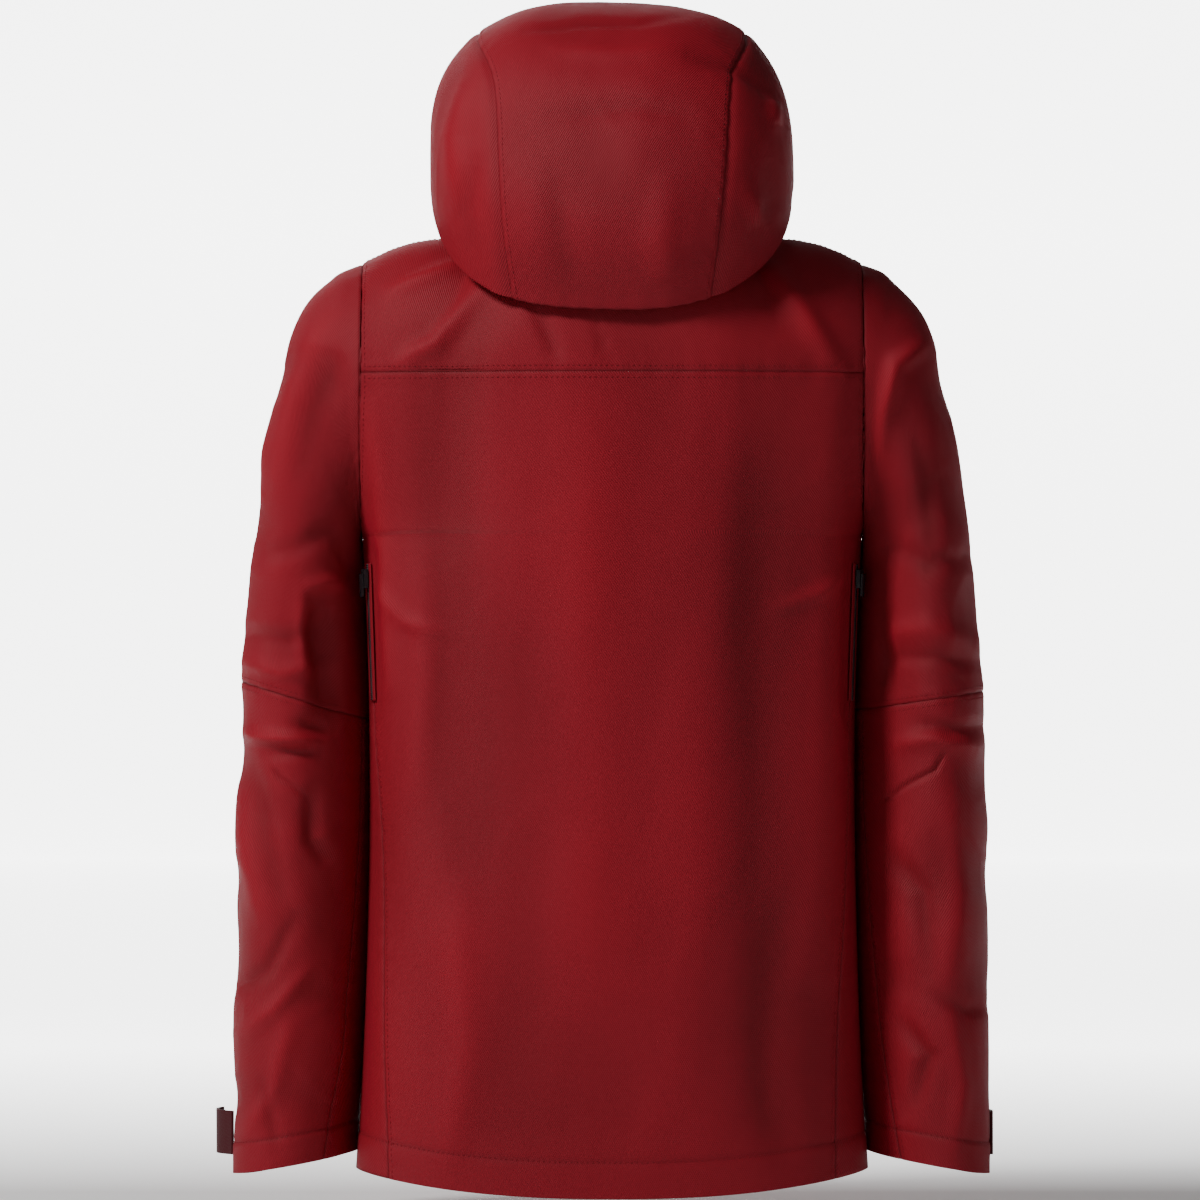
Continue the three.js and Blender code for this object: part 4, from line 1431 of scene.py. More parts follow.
class Sleeve:
    """One sleeve: upper sleeve, two forearm panels, cuff hem, cuff tab and its patches."""

    def __init__(self, name: str, side: float, size: SleeveSize, look: SleeveLook, shop: Workshop,
                 body: Body) -> None:
        """Keeps the side's name and sign, the sizes and the workshop.

        Args:
            name: left or right.
            side: 1 for the left, -1 for the right.
            size: its lengths.
            look: what differs from the other sleeve.
            shop: the workshop.
            body: the body of the jacket.
        """
        self.name, self.side, self.size, self.look = name, side, size, look
        self.shop, self.body = shop, body
        self.flip = np.array([side, 1.0, 1.0])
        self.crumple = Crumple(seed=look.seed, wavelength=0.11, swell=0.0014, crease=0.0004,
                               sharpness=0.35, stretch=(0.8, 0.8, 1.2))

    def section(self, inner: Grid, outer: Grid, widest: Grid, depth: Grid, angle: Grid) -> Grid:
        """Two half ellipses that meet at the widest place; angle 0 is outside, a quarter turn behind.

        Below the armhole the inside hangs a little forward, by the square of how far inside it is.

        Args:
            inner: the inside line.
            outer: the outside line.
            widest: how far from inside to outside the section is deepest.
            depth: half its depth there.
            angle: the angle round it, in radians.

        Returns:
            Points in space.
        """
        within = ((1 - np.cos(angle)) / 2) ** 2 * smooth(-inner[..., 2], *self.size.hangs_from)
        middle = inner + (outer - inner) * widest[..., None]
        reach = np.where(np.cos(angle)[..., None] > 0, outer - middle, middle - inner)
        point = middle + reach * np.cos(angle)[..., None]
        x = point[..., 0] - self.size.tuck * within
        return place(x, depth * np.sin(angle) - self.size.forward * within, point[..., 2])

    def slant(self, points: Grid, angle: Grid, amount: Grid) -> Grid:
        """Tips the elbow seam: outside up and inside down, by a share of the slant.

        Args:
            points: places, in metres.
            angle: the angle round it, in radians.
            amount: the share of the slant.

        Returns:
            The tipped points.
        """
        points = points.copy()
        points[..., 2] += self.look.elbow_slant * np.cos(angle) * amount
        return points

    def upper(self, angle: Grid, along: Grid) -> Grid:
        """A point of the upper sleeve, from the armhole seam, 0, to the elbow seam, 1.

        Args:
            angle: the angle round it, in radians.
            along: how far along, from 0 to 1.

        Returns:
            Points in space.
        """
        angle, along = np.broadcast_arrays(angle, along)
        size = self.size
        widest = mix(size.armhole_widest, 0.5, along)
        depth = mix(size.armhole, size.elbow_depth, along)
        inner, outer = spline(size.underarm_line, along), spline(size.shoulder_line, along)
        return self.slant(self.section(inner, outer, widest, depth, angle), angle, smooth(along, 0.45, 1))

    def forearm(self, angle: Grid, z: Grid) -> Grid:
        """A point of the forearm at an angle and a height.

        Args:
            angle: the angle round it, in radians.
            z: heights, in metres.

        Returns:
            Points in space.
        """
        angle, z = np.broadcast_arrays(angle, z)
        size = self.size
        share = (size.elbow - z) / (size.elbow - size.cuff)
        outer = place(size.outer - 0.0055 * (1 - share) ** 2, 0, z)
        inner = place(size.inner_line(z), 0, z)
        depth = mix(size.elbow_depth, size.cuff_depth, share)
        points = self.section(inner, outer, np.full(z.shape, 0.5), depth, angle)
        points = self.slant(points, angle, smooth(z, size.elbow - 0.12, size.elbow))
        points[..., 2] += size.cuff_rise * (1 - np.cos(angle)) / 2 * smooth(share, 0.75, 1.0)
        return points

    def core(self, points: Grid) -> Grid:
        """The middle line of the arm.

        Args:
            points: places, in metres.

        Returns:
            Points in space.
        """
        size = self.size
        x = mix(size.inner + 0.014, (size.inner + size.outer) / 2, smooth(-points[..., 2], 0.1, 0.352))
        return place(x, 0.0, mix(np.maximum(points[..., 2], -0.216), points[..., 2], 0.5))

    def lift(self, points: Grid, join: Grid | float = 1.0) -> Grid:
        """Height of the cloth: creasing, and the folds behind and, weaker, in front.

        Args:
            points: places, in metres.
            join: a factor on the height, lower where the cloth is joined on.

        Returns:
            Heights, in metres.
        """
        world = points * self.flip
        behind = 0.45 + 0.55 * smooth(world[..., 1], -0.02, 0.03)
        folds = fold_height(self.look.folds, world[..., 0], world[..., 2]) * behind
        cuff = smooth(points[..., 2], self.size.cuff, self.size.cuff + 0.05)
        beside = smooth(points[..., 0], 0.197, 0.216)
        high = self.crumple.height(world) + self.body.fine.height(world) + folds
        return high * join * (0.4 + 0.6 * cuff) * mix(0.04, 1.0, beside)

    def bend(self, first: str, second: str, ends: Sequence[Sequence[float]]) -> Bend:
        """A bend from one body to the next, with its two places given for the left sleeve.

        Args:
            first: the body it leaves.
            second: the body it reaches.
            ends: where the bend starts and ends.

        Returns:
            The bend.
        """
        start, end = ((self.side * x, y, z) for x, y, z in ends)
        return Bend(first, second, start, end)

    def _piece(self, name: str, points: Grid, core: Grid, edges: tuple[Edge, Edge, Edge, Edge],
               join: Grid | float = 1.0, ring: bool = False) -> Piece:
        """A cut piece on this sleeve's side.

        Args:
            name: the piece's name.
            points: places, in metres.
            core: the places its cloth faces away from.
            edges: how its four borders end.
            join: a factor on the height, lower where the cloth is joined on.
            ring: whether the last column joins the first.

        Returns:
            The cut piece.
        """
        return Piece(name + "_" + self.name + "_cloth", points * self.flip, core * self.flip, edges,
                     ring=ring, lift=self.lift(points, join))

    def build(self) -> None:
        """Makes every piece of the sleeve."""
        shop, size, name = self.shop, self.size, self.name
        armhole = self.bend("jacket_body", "upper_arm_" + name, size.armhole_bend)
        elbow = self.bend("upper_arm_" + name, "lower_arm_" + name, size.elbow_bend)
        angle = np.linspace(0, TURN, 180, endpoint=False)[None, :]
        along = close_ends(0, 1, 180, 0.25)[:, None]
        points = self.upper(angle, along)
        upper = self._piece("upper_sleeve", points, self.core(points),
                            (Edge.SEAM, Edge.SEAM, Edge.RAW, Edge.RAW), smooth(along, 0.0, 0.12), ring=True)
        shop.shell(upper, armhole, "upper_sleeve_" + name)
        shop.topstitch(upper, (1,))
        shop.stitches("upper_sleeve_topstitching_" + name, armhole)
        z = close_ends(size.elbow, size.cuff, 215, 0.368)[:, None]
        share = (size.elbow - z) / (size.elbow - size.cuff)
        half = np.radians(mix(30, 62, share**1.5))
        for label, middle, wide, count, length in (
                ("inner", math.pi, half, 60, 0.08), ("outer", 0.0, math.pi - half, 150, 0.26)):
            across = close_ends(-1, 1, count, length)[None, :]
            points = self.forearm(middle + across * wide, z)
            panel = self._piece("forearm_" + label, points, self.core(points),
                                (Edge.SEAM, Edge.HEM, Edge.SEAM, Edge.SEAM))
            shop.shell(panel, elbow, "forearm_" + label + "_" + name)
            shop.topstitch(panel, (0, 2, 3))
            shop.topstitch(panel, (1,), panel.hem)
        shop.stitches("forearm_topstitching_" + name, elbow)
        points = self.forearm(angle, np.linspace(size.cuff + 0.024, size.cuff, 12)[:, None])
        facing = Piece("cuff_hem_" + name + "_cloth", points * self.flip, self.core(points) * self.flip,
                       (Edge.RAW,) * 4, ring=True, lift=-0.0046, wall=0.0012)
        shop.trim(facing, "lower_arm_" + name, "cuff_hem_" + name)
        self.tab()

    def strip(self, name: str, turns: tuple[float, float], rows: tuple[float, float],
              lift: Callable[[Grid], Grid], wall: float, hinge: bool) -> Piece:
        """A strip on the cuff between two angles and two heights, turned on the hinge if it is the tab's.

        Args:
            name: the piece's name.
            turns: its first and last angle.
            rows: its lower and upper height.
            lift: height over the cuff at an angle.
            wall: its thickness.
            hinge: whether it turns with the tab.

        Returns:
            The cut piece.
        """
        turn = np.linspace(*turns, 60)[None, :]
        z = np.linspace(*rows, 36)[:, None]
        turn, z = np.broadcast_arrays(turn, z)
        size = self.size
        depth = mix(size.elbow_depth, size.cuff_depth, (size.elbow - z) / (size.elbow - size.cuff))
        base = self.section(place(size.inner, 0, z), place(size.outer, 0, z), np.full(z.shape, 0.5), depth,
                            turn)
        core = place((size.inner + size.outer) / 2, 0, z)
        raised = base + unit(base - core) * lift(turn)[..., None]
        if hinge:
            swing, axis = math.radians(TAB_OPEN[self.name]), np.array([size.outer + 0.0004, 0, 0])
            turned = np.array([[math.cos(swing), -math.sin(swing), 0], [math.sin(swing), math.cos(swing), 0],
                               [0, 0, 1]])
            raised, core = (raised - axis) @ turned.T + axis, (core - axis) @ turned.T + axis
        return Piece(name + "_" + self.name, raised * self.flip, core * self.flip, (Edge.RAW,) * 4, wall=wall)

    def tab(self) -> None:
        """The moulded cuff tab on its hinge line, and the hook and loop patches under it."""
        shop, name, size = self.shop, self.name, self.size
        wide = size.tab_turn
        low, high = size.cuff + 0.014, size.cuff + 0.048
        tab = self.strip("cuff_tab_moulding", (-wide, 0.0), (low, high),
                         lambda t: 0.0032 + 0.0026 * smooth(-t, 0.03, 0.4 * wide)
                         + 0.0004 * np.sin(t * 90) * smooth(-t, 0.75 * wide, 0.8 * wide), 0.0022, True)
        shop.trim(tab, "tab_" + name, "cuff_tab_" + name, sheet=False)
        for label, lift, hinge, holder, node in (
                ("hook_patch", 0.0031, True, "tab_" + name, "tab_hook_patch_" + name),
                ("loop_patch", 0.0016, False, "lower_arm_" + name, "cuff_loop_patch_" + name)):
            patch = self.strip(label, (-0.95 * wide, -0.45 * wide), (low + 0.002, high - 0.002),
                               lambda t, lift=lift: lift + 0 * t, 0.0012, hinge)
            shop.cloth(patch, Finish.HOOKS, "hook_and_loop", holder, [node], sheet=False)


TAB_OPEN = {"left": 32.0, "right": 0.0}
SLEEVE_LOOKS = {
    "left": SleeveLook(0.015, LEFT_FOLDS, 5),
    "right": SleeveLook(0.0075, RIGHT_FOLDS, 17),
}


# ---- hood ----


HOOD_FOLDS = (
    Fold(((-60, 143), (-94, 135), (-108, 127), (-126, 113)), -3.6, 6),
    Fold(((-126, 113), (-125, 92)), 4.2, 6),
    Fold(((-58, 178), (-20, 171), (24, 172), (66, 166)), -1.7, 4),
    Fold(((-50, 150), (-8, 146), (40, 149)), 2.2, 7),
    Fold(((-62, 96), (-20, 104), (44, 98)), -2.0, 9),
    Fold(((-40, 40), (-36, 0), (-44, -30)), 3.1, 14),
    Fold(((44, 50), (38, 4), (30, -34)), -2.8, 12),
    Fold(((112, 120), (122, 84), (118, 40)), 3.6, 9),
    Fold(((104, 60), (112, 20), (104, -8)), -3.4, 8),
    Fold(((-118, 66), (-124, 34), (-112, 2)), -3.1, 9),
    Fold(((-104, 40), (-116, 14)), 3.1, 7),
)


@dataclass(frozen=True)
class HoodSize:
    """The hood's lengths. Slices across it shrink towards the centre point as they go outwards."""

    half: float = 0.143
    centre: tuple[float, float, float] = (0.0, 0.010, 0.065)
    power: float = 2.6
    seam: float = 0.0862
    seam_line: tuple[float, ...] = (0.0862, 0.095, 0.102, 0.104, 0.091, 0.0875, 0.083, 0.076)
    brim: float = 0.034
    brim_half: float = 0.074
    binding: float = 0.0021
    band_turn: float = 0.2
    band_rises: tuple[float, float] = (0.46, 0.832)
    line: tuple[tuple[float, float, float], ...] = (
        (0, -0.112, 0.150), (0, -0.068, 0.182), (0, 0, 0.193), (0, 0.068, 0.180), (0, 0.120, 0.134),
        (0, 0.145, 0.066), (0, 0.145, 0.002), (0, 0.1230, -0.051))
    lower: tuple[tuple[float, float, float], ...] = (
        (0.118, 0.062, 0.004), (0.128, 0.0, 0.014), (0.112, -0.060, 0.012), (0.092, -0.088, 0.016))
    face: tuple[tuple[float, float, float], ...] = (
        (0.092, -0.088, 0.016), (0.106, -0.100, 0.070), (0.104, -0.104, 0.110))


class Hood:
    """The three-piece hood with its brim, face bindings and neck band."""

    def __init__(self, size: HoodSize, shop: Workshop, body: Body) -> None:
        """Keeps the sizes, the workshop and the body it stands on.

        Args:
            size: its lengths.
            shop: the workshop.
            body: the body of the jacket.
        """
        self.size, self.shop, self.body = size, shop, body
        self.crumple = Crumple(seed=41, wavelength=0.11, swell=0.0013, crease=0.0003, sharpness=0.35)
        self.bend = Bend("jacket_body", "hood", (0, 0, -0.03), (0, 0, 0.10))

    def point(self, x: Grid, along: Grid) -> Grid:
        """A point of the centre panel: the middle line drawn towards the centre point.

        The share kept at half width x is (1 - (x / half)^power)^(1 / power).

        Args:
            x: across, in metres.
            along: how far from the brow to the neck.

        Returns:
            Points in space.
        """
        x, along = np.broadcast_arrays(np.asarray(x, float), np.asarray(along, float))
        size = self.size
        keep = (1 - np.clip(np.abs(x) / size.half, 0, 1) ** size.power) ** (1 / size.power)
        centre = np.array(size.centre)
        points = (spline(size.line, along) - centre) * keep[..., None] + centre
        return place(x, points[..., 1], points[..., 2])

    def seam_half(self, along: Grid) -> Grid:
        """Half the centre panel's width along the middle line.

        Args:
            along: how far along, from 0 to 1.

        Returns:
            Half widths.
        """
        return spline(np.array(self.size.seam_line)[:, None], np.asarray(along, float))[..., 0]

    def outline(self, run: Grid) -> Grid:
        """The outline of a hood side: seam to a half, lower edge to three quarters, then the face.

        Args:
            run: how far round, from 0 to 1.

        Returns:
            Points in space.
        """
        size = self.size
        ends = self.point(self.seam_half(np.array([1.0, 0.0])), np.array([1.0, 0.0]))
        run = run % 1.0
        along = np.clip(run * 2, 0, 1)
        seam = self.point(self.seam_half(along), along)
        lower = spline((ends[0], *size.lower), (run - 0.5) * 4)
        face = spline((*size.face, ends[1]), (run - 0.75) * 4)
        return np.where((run < 0.5)[..., None], seam, np.where((run < 0.75)[..., None], lower, face))

    def side(self, a: Grid, b: Grid) -> Grid:
        """A point of a hood side: square rings become shrunken outlines, bulging to full width.

        Args:
            a: one square coordinate, from -1 to 1.
            b: the other square coordinate.

        Returns:
            Points in space.
        """
        size = self.size
        ring = np.maximum(np.maximum(np.abs(a), np.abs(b)), 1e-6)
        p, q = a / ring, b / ring
        run = np.where(p >= 1 - 1e-9, (q + 1) / 8, 0.25 + (1 - p) / 8)
        run = np.where(p <= -1 + 1e-9, 0.5 + (1 - q) / 8, run)
        run = np.where((q <= -1 + 1e-9) & (p < 1 - 1e-9) & (p > -1 + 1e-9), 0.75 + (p + 1) / 8, run)
        edge = self.outline(run)
        centre = np.array(size.centre)
        points = (edge - centre) * ring[..., None] + centre
        sunk = ring**size.power * (1 - (edge[..., 0] / size.half) ** size.power)
        return place(size.half * (1 - sunk) ** (1 / size.power), points[..., 1], points[..., 2])

    def piece(self, name: str, points: Grid, edges: tuple[Edge, Edge, Edge, Edge]) -> Piece:
        """A shell piece of the hood, facing away from its centre.

        Args:
            name: the piece's name.
            points: places, in metres.
            edges: how its four borders end.

        Returns:
            The cut piece.
        """
        behind = smooth(points[..., 1], 0.0, 0.05)
        folds = fold_height(HOOD_FOLDS, points[..., 0], points[..., 2]) * behind
        lift = self.crumple.height(points) + self.body.fine.height(points) + folds
        core = np.broadcast_to(np.array(self.size.centre), points.shape)
        return Piece(name, points, core, edges, radial=True, lift=lift, hem=0.012)

    def shell(self) -> None:
        """The centre panel from the brow to the neck and the two sides."""
        size = self.size
        along = close_ends(0, 1, 240, 0.455)[:, None]
        x = close_ends(-1, 1, 120, 2 * size.seam)[None, :] * self.seam_half(along)
        centre = self.piece("hood_centre_cloth", self.point(x, along),
                            (Edge.HEM, Edge.SEAM, Edge.SEAM, Edge.SEAM))
        self.shop.shell(centre, self.bend, "hood_centre_panel")
        self.shop.topstitch(centre, (0, 2, 3))
        for name, side in SIDES:
            grid = close_ends(-1, 1, 160, 0.22)
            a, b = np.meshgrid(grid, grid, indexing="ij")
            points = self.side(a, b) * np.array([side, 1, 1])
            part = self.piece("hood_side_" + name + "_cloth", points, (Edge.RAW,) * 4)
            edge = 1 - np.maximum(np.abs(a), np.abs(b))
            near = edge * 0.10
            beside = bell(near, EDGES.swell_at, EDGES.swell_width)
            part.lift = part.lift - 0.0014 * bell(near, 0.0, 0.0018) + 0.0005 * beside
            self.shop.shell(part, self.bend, "hood_side_" + name)
        self.shop.stitches("hood_topstitching", self.bend)

    def trim(self) -> None:
        """The stiff brim, the ribbed bindings beside the face and the band behind the neck."""
        size = self.size
        x = np.linspace(-size.brim_half, size.brim_half, 120)[None, :]
        out = np.linspace(0.01, 1, 26)[:, None]
        reach = 0.0004 + out * size.brim * (1 - 0.45 * (x / size.seam) ** 2)
        points = self.point(x, np.zeros(reach.shape)) + place(0, -reach, -0.16 * reach)
        core = np.broadcast_to(np.array(size.centre), points.shape)
        brim = Piece("hood_brim_cloth", points, core, (Edge.SEAM, Edge.HEM, Edge.RAW, Edge.RAW), wall=0.0024,
                     hem=0.005)
        self.shop.trim(brim, "hood", "hood_brim")
        ends = self.point(np.array([size.seam]), np.array([0.0]))
        for name, side in SIDES:
            line = spline((*size.face, ends[0]), np.linspace(0, 0.875, 150)) + np.array([0.001, -0.00276, 0])
            around = np.linspace(0, TURN, 12, endpoint=False)
            along = unit(np.gradient(line, axis=0))
            one = unit(np.cross(along, np.array([0.0, 0.0, 1.0]) + 0.3 * np.array([1.0, 0, 0])))
            two = np.cross(along, one)
            thick = size.binding + 0.00018 * np.sin(np.arange(150) * 1.7)
            points = line[:, None] + (one[:, None] * np.cos(around)[None, :, None]
                                      + two[:, None] * np.sin(around)[None, :, None]) * thick[:, None, None]
            flip = np.array([side, 1, 1])
            obj = rod("face_binding_" + name + "_cloth", points * flip)
            self.shop.solid(obj, Finish.TRIM, "dark_laminate", self.bend, ["face_binding_" + name])
        turns = np.linspace(-size.band_turn, size.band_turn, 90)[None, :]
        rises = np.linspace(*size.band_rises, 50)[:, None]
        points = self.body.shape.yoke_point(turns, rises)
        core = self.body.shape.core(points)
        band = Piece("hood_neck_band_cloth", points, core, (Edge.RAW,) * 4, lift=0.0036, wall=0.0018)
        self.shop.shell(band, "jacket_body", "hood_neck_band")

    def build(self) -> None:
        """Makes every piece of the hood."""
        self.shell()
        self.trim()
        LOG.info("hood made")


def rod(name: str, rings: Grid) -> bpy.types.Object:
    """A closed rod from rings of points, with a flat fan at each end.

    Args:
        name: the object's name.
        rings: points as ring by point round the ring.

    Returns:
        The mesh object, with its faces outwards.
    """
    n_rings, n = rings.shape[:2]
    corner = quads(n_rings, n, True)
    faces = corner[..., 0] * n + corner[..., 1] % n
    ends = [list(range(n))[::-1], [(n_rings - 1) * n + i for i in range(n)]]
    first = rings[0].mean(0)
    face_way = np.cross(rings[0, 1] - rings[0, 0], rings[1, 0] - rings[0, 0])
    if float(np.dot(face_way, rings[0, 0] - first)) < 0:
        faces = faces[:, ::-1]
        ends = [end[::-1] for end in ends]
    return new_mesh(name, rings.reshape(-1, 3), faces.tolist() + ends)


# ---- zips and small parts ----


@dataclass(frozen=True)
class ZipSize:
    """The lengths of a coil zip."""

    tape: float = 0.007
    coil: float = 0.0034
    gap: float = 0.0004
    thick: float = 0.0012
    proud: float = 0.0006
    pitch: float = 0.0016
    stations: int = 7
    sides: int = 6
    wire_deep: float = 0.00045
    wire_wide: float = 0.00062
    lean: float = 0.0003


@dataclass(frozen=True)
class ZipFrame:
    """A straight zip's own frame: its bottom, the way up it, the way into the jacket and across."""

    bottom: Grid
    up: Grid
    inwards: Grid
    length: float

    @staticmethod
    def between(bottom: Grid, top: Grid, facing: Grid) -> "ZipFrame":
        """The frame of a zip from bottom to top that faces a given way.

        Args:
            bottom: its lower end.
            top: its upper end.
            facing: the way it faces.

        Returns:
            The frame.
        """
        up = unit(top - bottom)
        inwards = -unit(facing - up * float(np.dot(facing, up)))
        return ZipFrame(bottom, up, inwards, float(np.linalg.norm(top - bottom)))

    def at(self, across: Grid, deep: Grid, along: Grid) -> Grid:
        """Points of the zip from their distances across, into the jacket and up the zip.

        Args:
            across: distances across it.
            deep: distances into the jacket.
            along: distances up the zip.

        Returns:
            Points in space.
        """
        side = np.cross(self.inwards, self.up)
        across, deep, along = np.broadcast_arrays(across, deep, along)
        return (self.bottom + across[..., None] * side + deep[..., None] * self.inwards
                + along[..., None] * self.up)


class Zips:
    """The front zip with its flap and guard, two pocket zips and two pit zips."""

    def __init__(self, size: ZipSize, shop: Workshop, shape: Torso) -> None:
        """Keeps the sizes, the workshop and the body's shape.

        Args:
            size: its lengths.
            shop: the workshop.
            shape: the body's shape.
        """
        self.size, self.shop, self.shape = size, shop, shape

    def strip(self, name: str, zip_frame: ZipFrame, across: tuple[float, float],
              along: tuple[float, float], face: float, wall: float) -> Piece:
        """A flat strip of tape or cloth along a zip, with its outer face at one depth.

        Args:
            name: the piece's name.
            zip_frame: the zip's own frame.
            across: its first and last distance across.
            along: its first and last distance up the zip.
            face: depth of its outer face.
            wall: its thickness.

        Returns:
            The cut piece.
        """
        points = zip_frame.at(np.linspace(*across, 14)[None, :], face, np.linspace(*along, 160)[:, None])
        core = points + zip_frame.inwards
        return Piece(name, points, core, (Edge.RAW,) * 4, wall=wall)

    def coil(self, name: str, zip_frame: ZipFrame, along: tuple[float, float], holder: str,
             stands_for: Sequence[str]) -> None:
        """The coil: one humped six-sided rod across the zip at every pitch.

        Args:
            name: the piece's name.
            zip_frame: the zip's own frame.
            along: its first and last distance up the zip.
            holder: the body it rides on.
            stands_for: CAD nodes it replaces.
        """
        size = self.size
        steps = np.arange(along[0], along[1], size.pitch)
        across = np.linspace(-1, 1, size.stations) * size.coil / 2
        around = np.linspace(0, TURN, size.sides, endpoint=False)
        hump = np.sqrt(np.maximum(0, 1 - (across / (size.coil / 2)) ** 2))
        middle = size.thick * 0.5 - hump[:, None] * (size.proud + size.thick * 0.4)
        deep = middle + size.wire_deep * np.sin(around)[None]
        wide = size.wire_wide * np.cos(around)[None, :] + size.lean * np.sign(across)[:, None]
        rings = zip_frame.at(across[None, :, None], deep[None], steps[:, None, None] + wide[None])
        n = size.sides
        corner = quads(size.stations, n, True)
        faces = (corner[..., 0] * n + corner[..., 1] % n)[:, ::-1].tolist()
        faces += [list(range(n)), [(size.stations - 1) * n + i for i in range(n)][::-1]]
        block = size.stations * n
        points = rings.reshape(-1, 3)
        every = [[i + block * k for i in face] for k in range(len(steps)) for face in faces]
        obj = new_mesh(name, points, every)
        self.shop.solid(obj, Finish.POLYMER, "moulded_polymer", holder, stands_for)

    def front(self) -> None:
        """The front zip from the hem to the top of the collar, the flap behind it and the guard."""
        shape, size = self.shape, self.size
        low, high = shape.hem + shape.hem_rise + 0.002, shape.collar_top - 0.002
        bottom, top = (np.array([0, -float(shape.front_depth(z)), z]) for z in (low, high))
        zip_frame = ZipFrame.between(bottom, top, np.array([0.0, -1.0, 0.0]))
        start = 0.0124
        for name, side in SIDES:
            edges = sorted((side * (size.coil / 2 + size.gap), side * size.tape))
            tape = self.strip("front_zip_tape_" + name + "_woven", zip_frame, (edges[0], edges[1]),
                              (start, zip_frame.length), 0.0, size.thick)
            self.shop.cloth(tape, Finish.TAPE, "zip_tape", "jacket_body", ["front_zip_tape_" + name],
                            sheet=False)
        self.coil("front_zip_coil_loops", zip_frame, (start + 0.001, zip_frame.length), "jacket_body",
                  ["front_zip_coil"])
        flap = self.strip("storm_flap_cloth", zip_frame, (-0.009, 0.009), (0.026, zip_frame.length),
                          0.0042, 0.0014)
        self.shop.trim(flap, "jacket_body", "storm_flap")
        guard = self.strip("chin_guard_cloth", zip_frame, (-0.015, 0.015),
                           (zip_frame.length - 0.030, zip_frame.length), 0.0061, 0.0009)
        self.shop.cloth(guard, Finish.TAPE, "lining", "jacket_body", ["chin_guard"], sheet=False)

    def on_body(self, name: str, side: float, run: ZipRun, finish: Finish) -> None:
        """A zip laid on the body at one turn between two heights.

        Args:
            name: the piece's name.
            side: 1 for the left, -1 for the right.
            run: where it lies.
            finish: its material.
        """
        turn, low, high = run.turn, run.low, run.high
        size, flip = self.size, np.array([side, 1, 1])
        heights = np.array([low, (low + high) / 2, high])
        step = 1e-5
        at = self.shape.point(turn, heights)
        normal = unit(np.cross(self.shape.point(turn + step, heights) - at,
                               self.shape.point(turn, heights + step) - at))
        core = self.shape.core(at)
        normal *= np.sign(np.sum(normal * (at - core), -1, keepdims=True))
        ends = (at + normal * 0.0020) * flip
        zip_frame = ZipFrame.between(ends[0], ends[2], normal[1] * flip)
        tape = self.strip(name + "_tape", zip_frame, (-size.tape, size.tape), (0, zip_frame.length), 0.0003,
                          0.0009)
        self.shop.cloth(tape, finish, "zip_tape", "jacket_body", [name])
        self.coil(name + "_loops", zip_frame, (0.001, zip_frame.length - 0.001), "jacket_body", ())

    def hardware(self) -> None:
        """Gives the sliders, pullers and the zip box their moulded finish."""
        for name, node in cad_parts.items():
            if name.endswith(("_slider", "_puller", "_box")):
                self.shop.wardrobe.dress(node, Finish.POLYMER, "moulded_polymer")

    def build(self) -> None:
        """Makes every zip."""
        self.front()
        for name, side in SIDES:
            self.on_body("pocket_zip_" + name, side, HAND_ZIP, Finish.TAPE)
            self.on_body("pit_zip_" + name, side, PIT_ZIP, Finish.SHELL)
        self.hardware()
        LOG.info("zips made")


# ---- studio ----


@dataclass(frozen=True)
class Lamp:
    """A soft square light."""

    name: str
    at: tuple[float, float, float]
    size: float
    watts: float
    colour: str = "FFFFFF"


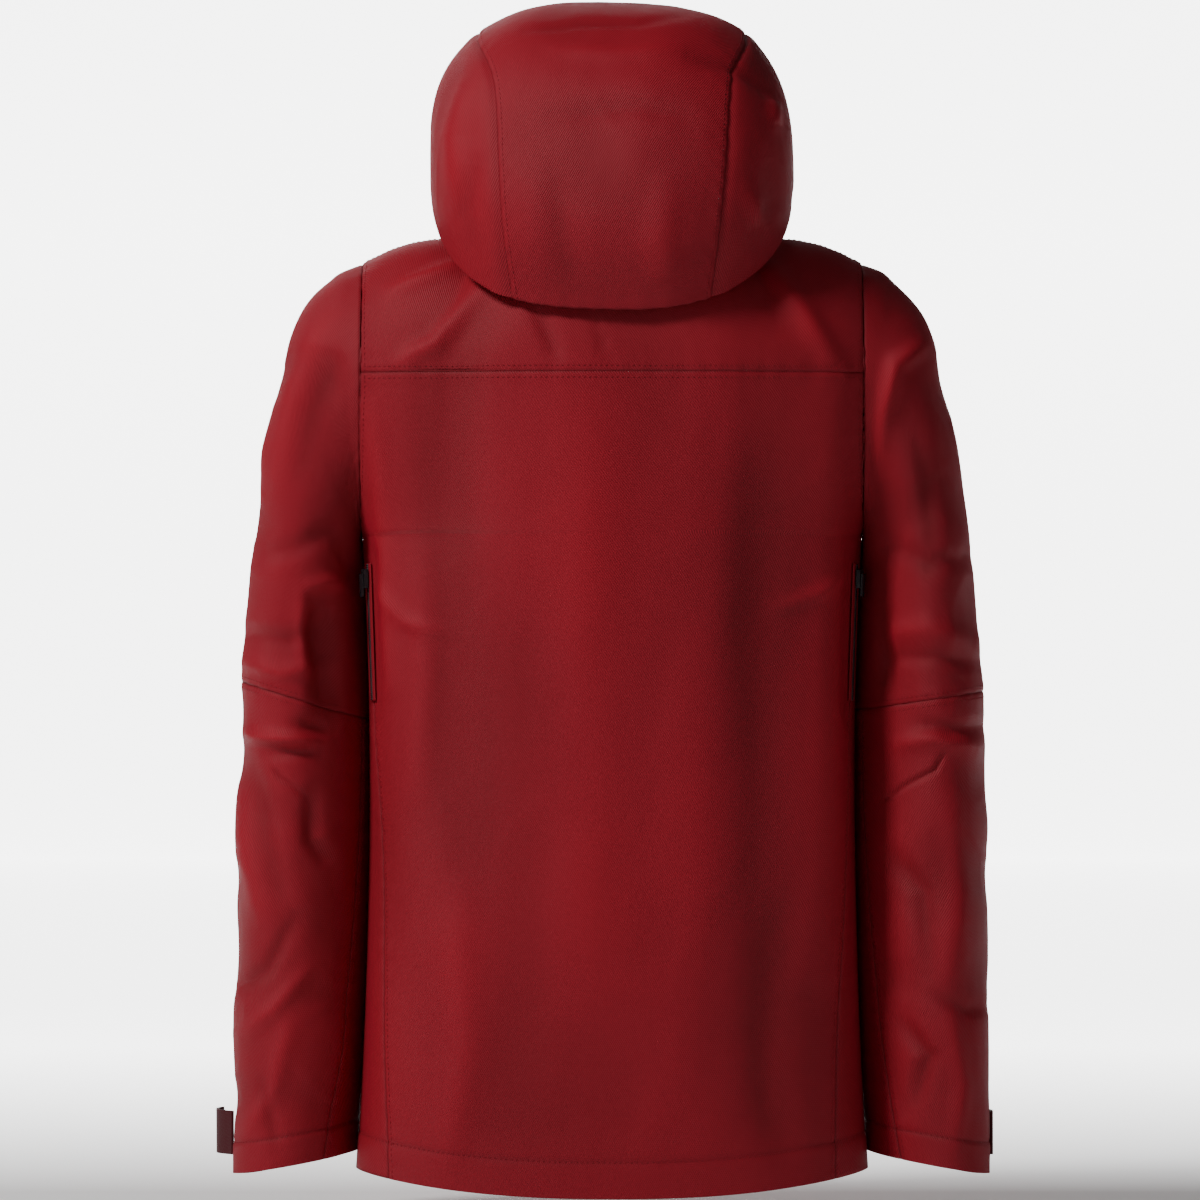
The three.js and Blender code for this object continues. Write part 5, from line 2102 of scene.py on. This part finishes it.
@dataclass(frozen=True)
class Studio:
    """A pale floor and sweep, soft lights and the camera behind the jacket."""

    target: tuple[float, float, float] = (0.0094, 0.0, -0.2736)
    distance: float = 7.0
    height: float = 0.936
    sensor: float = 36.0
    floor: float = -0.752
    sweep_half: float = 2.4
    sweep_from: float = 9.0
    sweep_bend: float = -9.6
    sweep_radius: float = 1.2
    sweep_top: float = 2.2
    glow_from: float = -0.25
    glow_to: float = -2.6
    glow: tuple[float, float] = (0.06, 4.6)
    world: float = 0.09
    lamps: tuple[Lamp, ...] = field(default_factory=lambda: (
        Lamp("key_softbox", (2.1, 1.6, 2.0), 0.7, 100.0),
        Lamp("fill_softbox", (-2.4, 1.5, 0.7), 0.9, 3.5),
        Lamp("camera_softbox", (0.7, 3.6, 0.3), 1.0, 4.0),
        Lamp("front_softbox", (0.6, -2.6, 1.1), 1.6, 22.0),
    ))

    def aim(self, obj: bpy.types.Object, at: Sequence[float]) -> None:
        """Puts an object somewhere, looking at the target.

        Args:
            obj: the object.
            at: where to put it.
        """
        away = np.array(at) - np.array(self.target)
        obj.location = at
        flat = float(np.hypot(away[0], away[1]))
        obj.rotation_euler = (math.atan2(flat, away[2]), 0.0, math.atan2(away[0], -away[1]))

    def paper(self) -> bpy.types.Material:
        """The pale paper of the sweep, which glows more and more behind the jacket."""
        paint = bpy.data.materials.new("back_lit_paper_sweep")
        paint.use_nodes = True
        tree = paint.node_tree
        shader = tree.nodes["Principled BSDF"]
        shader.inputs["Base Color"].default_value = linear("F4F3F2")
        shader.inputs["Roughness"].default_value = 0.9
        shader.inputs["Emission Color"].default_value = linear("FFFFFF")
        where = add_node(tree, "ShaderNodeTexCoord", {}, {}).outputs["Object"]
        depth = add_node(tree, "ShaderNodeSeparateXYZ", {}, {"Vector": where}).outputs["Y"]
        ramp = {("in", "From Min"): self.glow_from, ("in", "From Max"): self.glow_to,
                ("in", "To Min"): self.glow[0], ("in", "To Max"): self.glow[1]}
        glow = add_node(tree, "ShaderNodeMapRange", ramp, {"Value": depth}).outputs["Result"]
        tree.links.new(glow, shader.inputs["Emission Strength"])
        return paint

    def sweep(self) -> None:
        """Makes the floor, which bends up into a wall far behind the jacket."""
        bend = np.linspace(0, QUARTER, 24)
        round_y = self.sweep_bend - self.sweep_radius * np.sin(bend)
        round_z = self.floor + self.sweep_radius * (1 - np.cos(bend))
        profile_y = np.concatenate([[self.sweep_from], round_y, [self.sweep_bend - self.sweep_radius]])
        profile_z = np.concatenate([[self.floor], round_z, [self.sweep_top]])
        across = np.array([-self.sweep_half, self.sweep_half])[:, None]
        points = place(across, profile_y[None, :], profile_z[None, :])
        corner = quads(2, len(profile_y), False)
        sweep = new_mesh("studio_sweep", points, corner[..., 0] * len(profile_y) + corner[..., 1])
        sweep.data.materials.append(self.paper())

    def lights(self) -> None:
        """Makes the soft lights and the dim world."""
        for lamp in self.lamps:
            light = bpy.data.lights.new(lamp.name, "AREA")
            light.size = lamp.size
            light.energy = lamp.watts
            light.color = linear(lamp.colour)[:3]
            obj = bpy.data.objects.new(lamp.name, light)
            bpy.context.scene.collection.objects.link(obj)
            self.aim(obj, lamp.at)
        world = bpy.data.worlds.new("studio_world")
        world.use_nodes = True
        background = world.node_tree.nodes["Background"]
        background.inputs["Color"].default_value = linear("F2F1F0")
        background.inputs["Strength"].default_value = self.world
        bpy.context.scene.world = world

    def camera(self) -> None:
        """Makes the camera behind the jacket."""
        camera = bpy.data.cameras.new("camera")
        camera.sensor_width = self.sensor
        camera.lens = self.sensor * self.distance / self.height
        obj = bpy.data.objects.new("camera", camera)
        bpy.context.scene.collection.objects.link(obj)
        self.aim(obj, (self.target[0], self.distance, self.target[2]))
        bpy.context.scene.camera = obj

    def build(self) -> None:
        """Makes the sweep, the lights, the world and the camera."""
        self.sweep()
        self.lights()
        self.camera()


def main() -> None:
    """Builds the jacket piece by piece, then the studio."""
    logging.basicConfig(level=logging.INFO, format="%(message)s")
    shop = Workshop(Wardrobe())
    body = Body(Torso(), shop)
    body.build()
    for name, side in SIDES:
        Sleeve(name, side, SleeveSize(), SLEEVE_LOOKS[name], shop, body).build()
        LOG.info("sleeve %s made", name)
    Hood(HoodSize(), shop, body).build()
    Zips(ZipSize(), shop, body.shape).build()
    Studio().build()


if __name__ == "__main__":
    main()
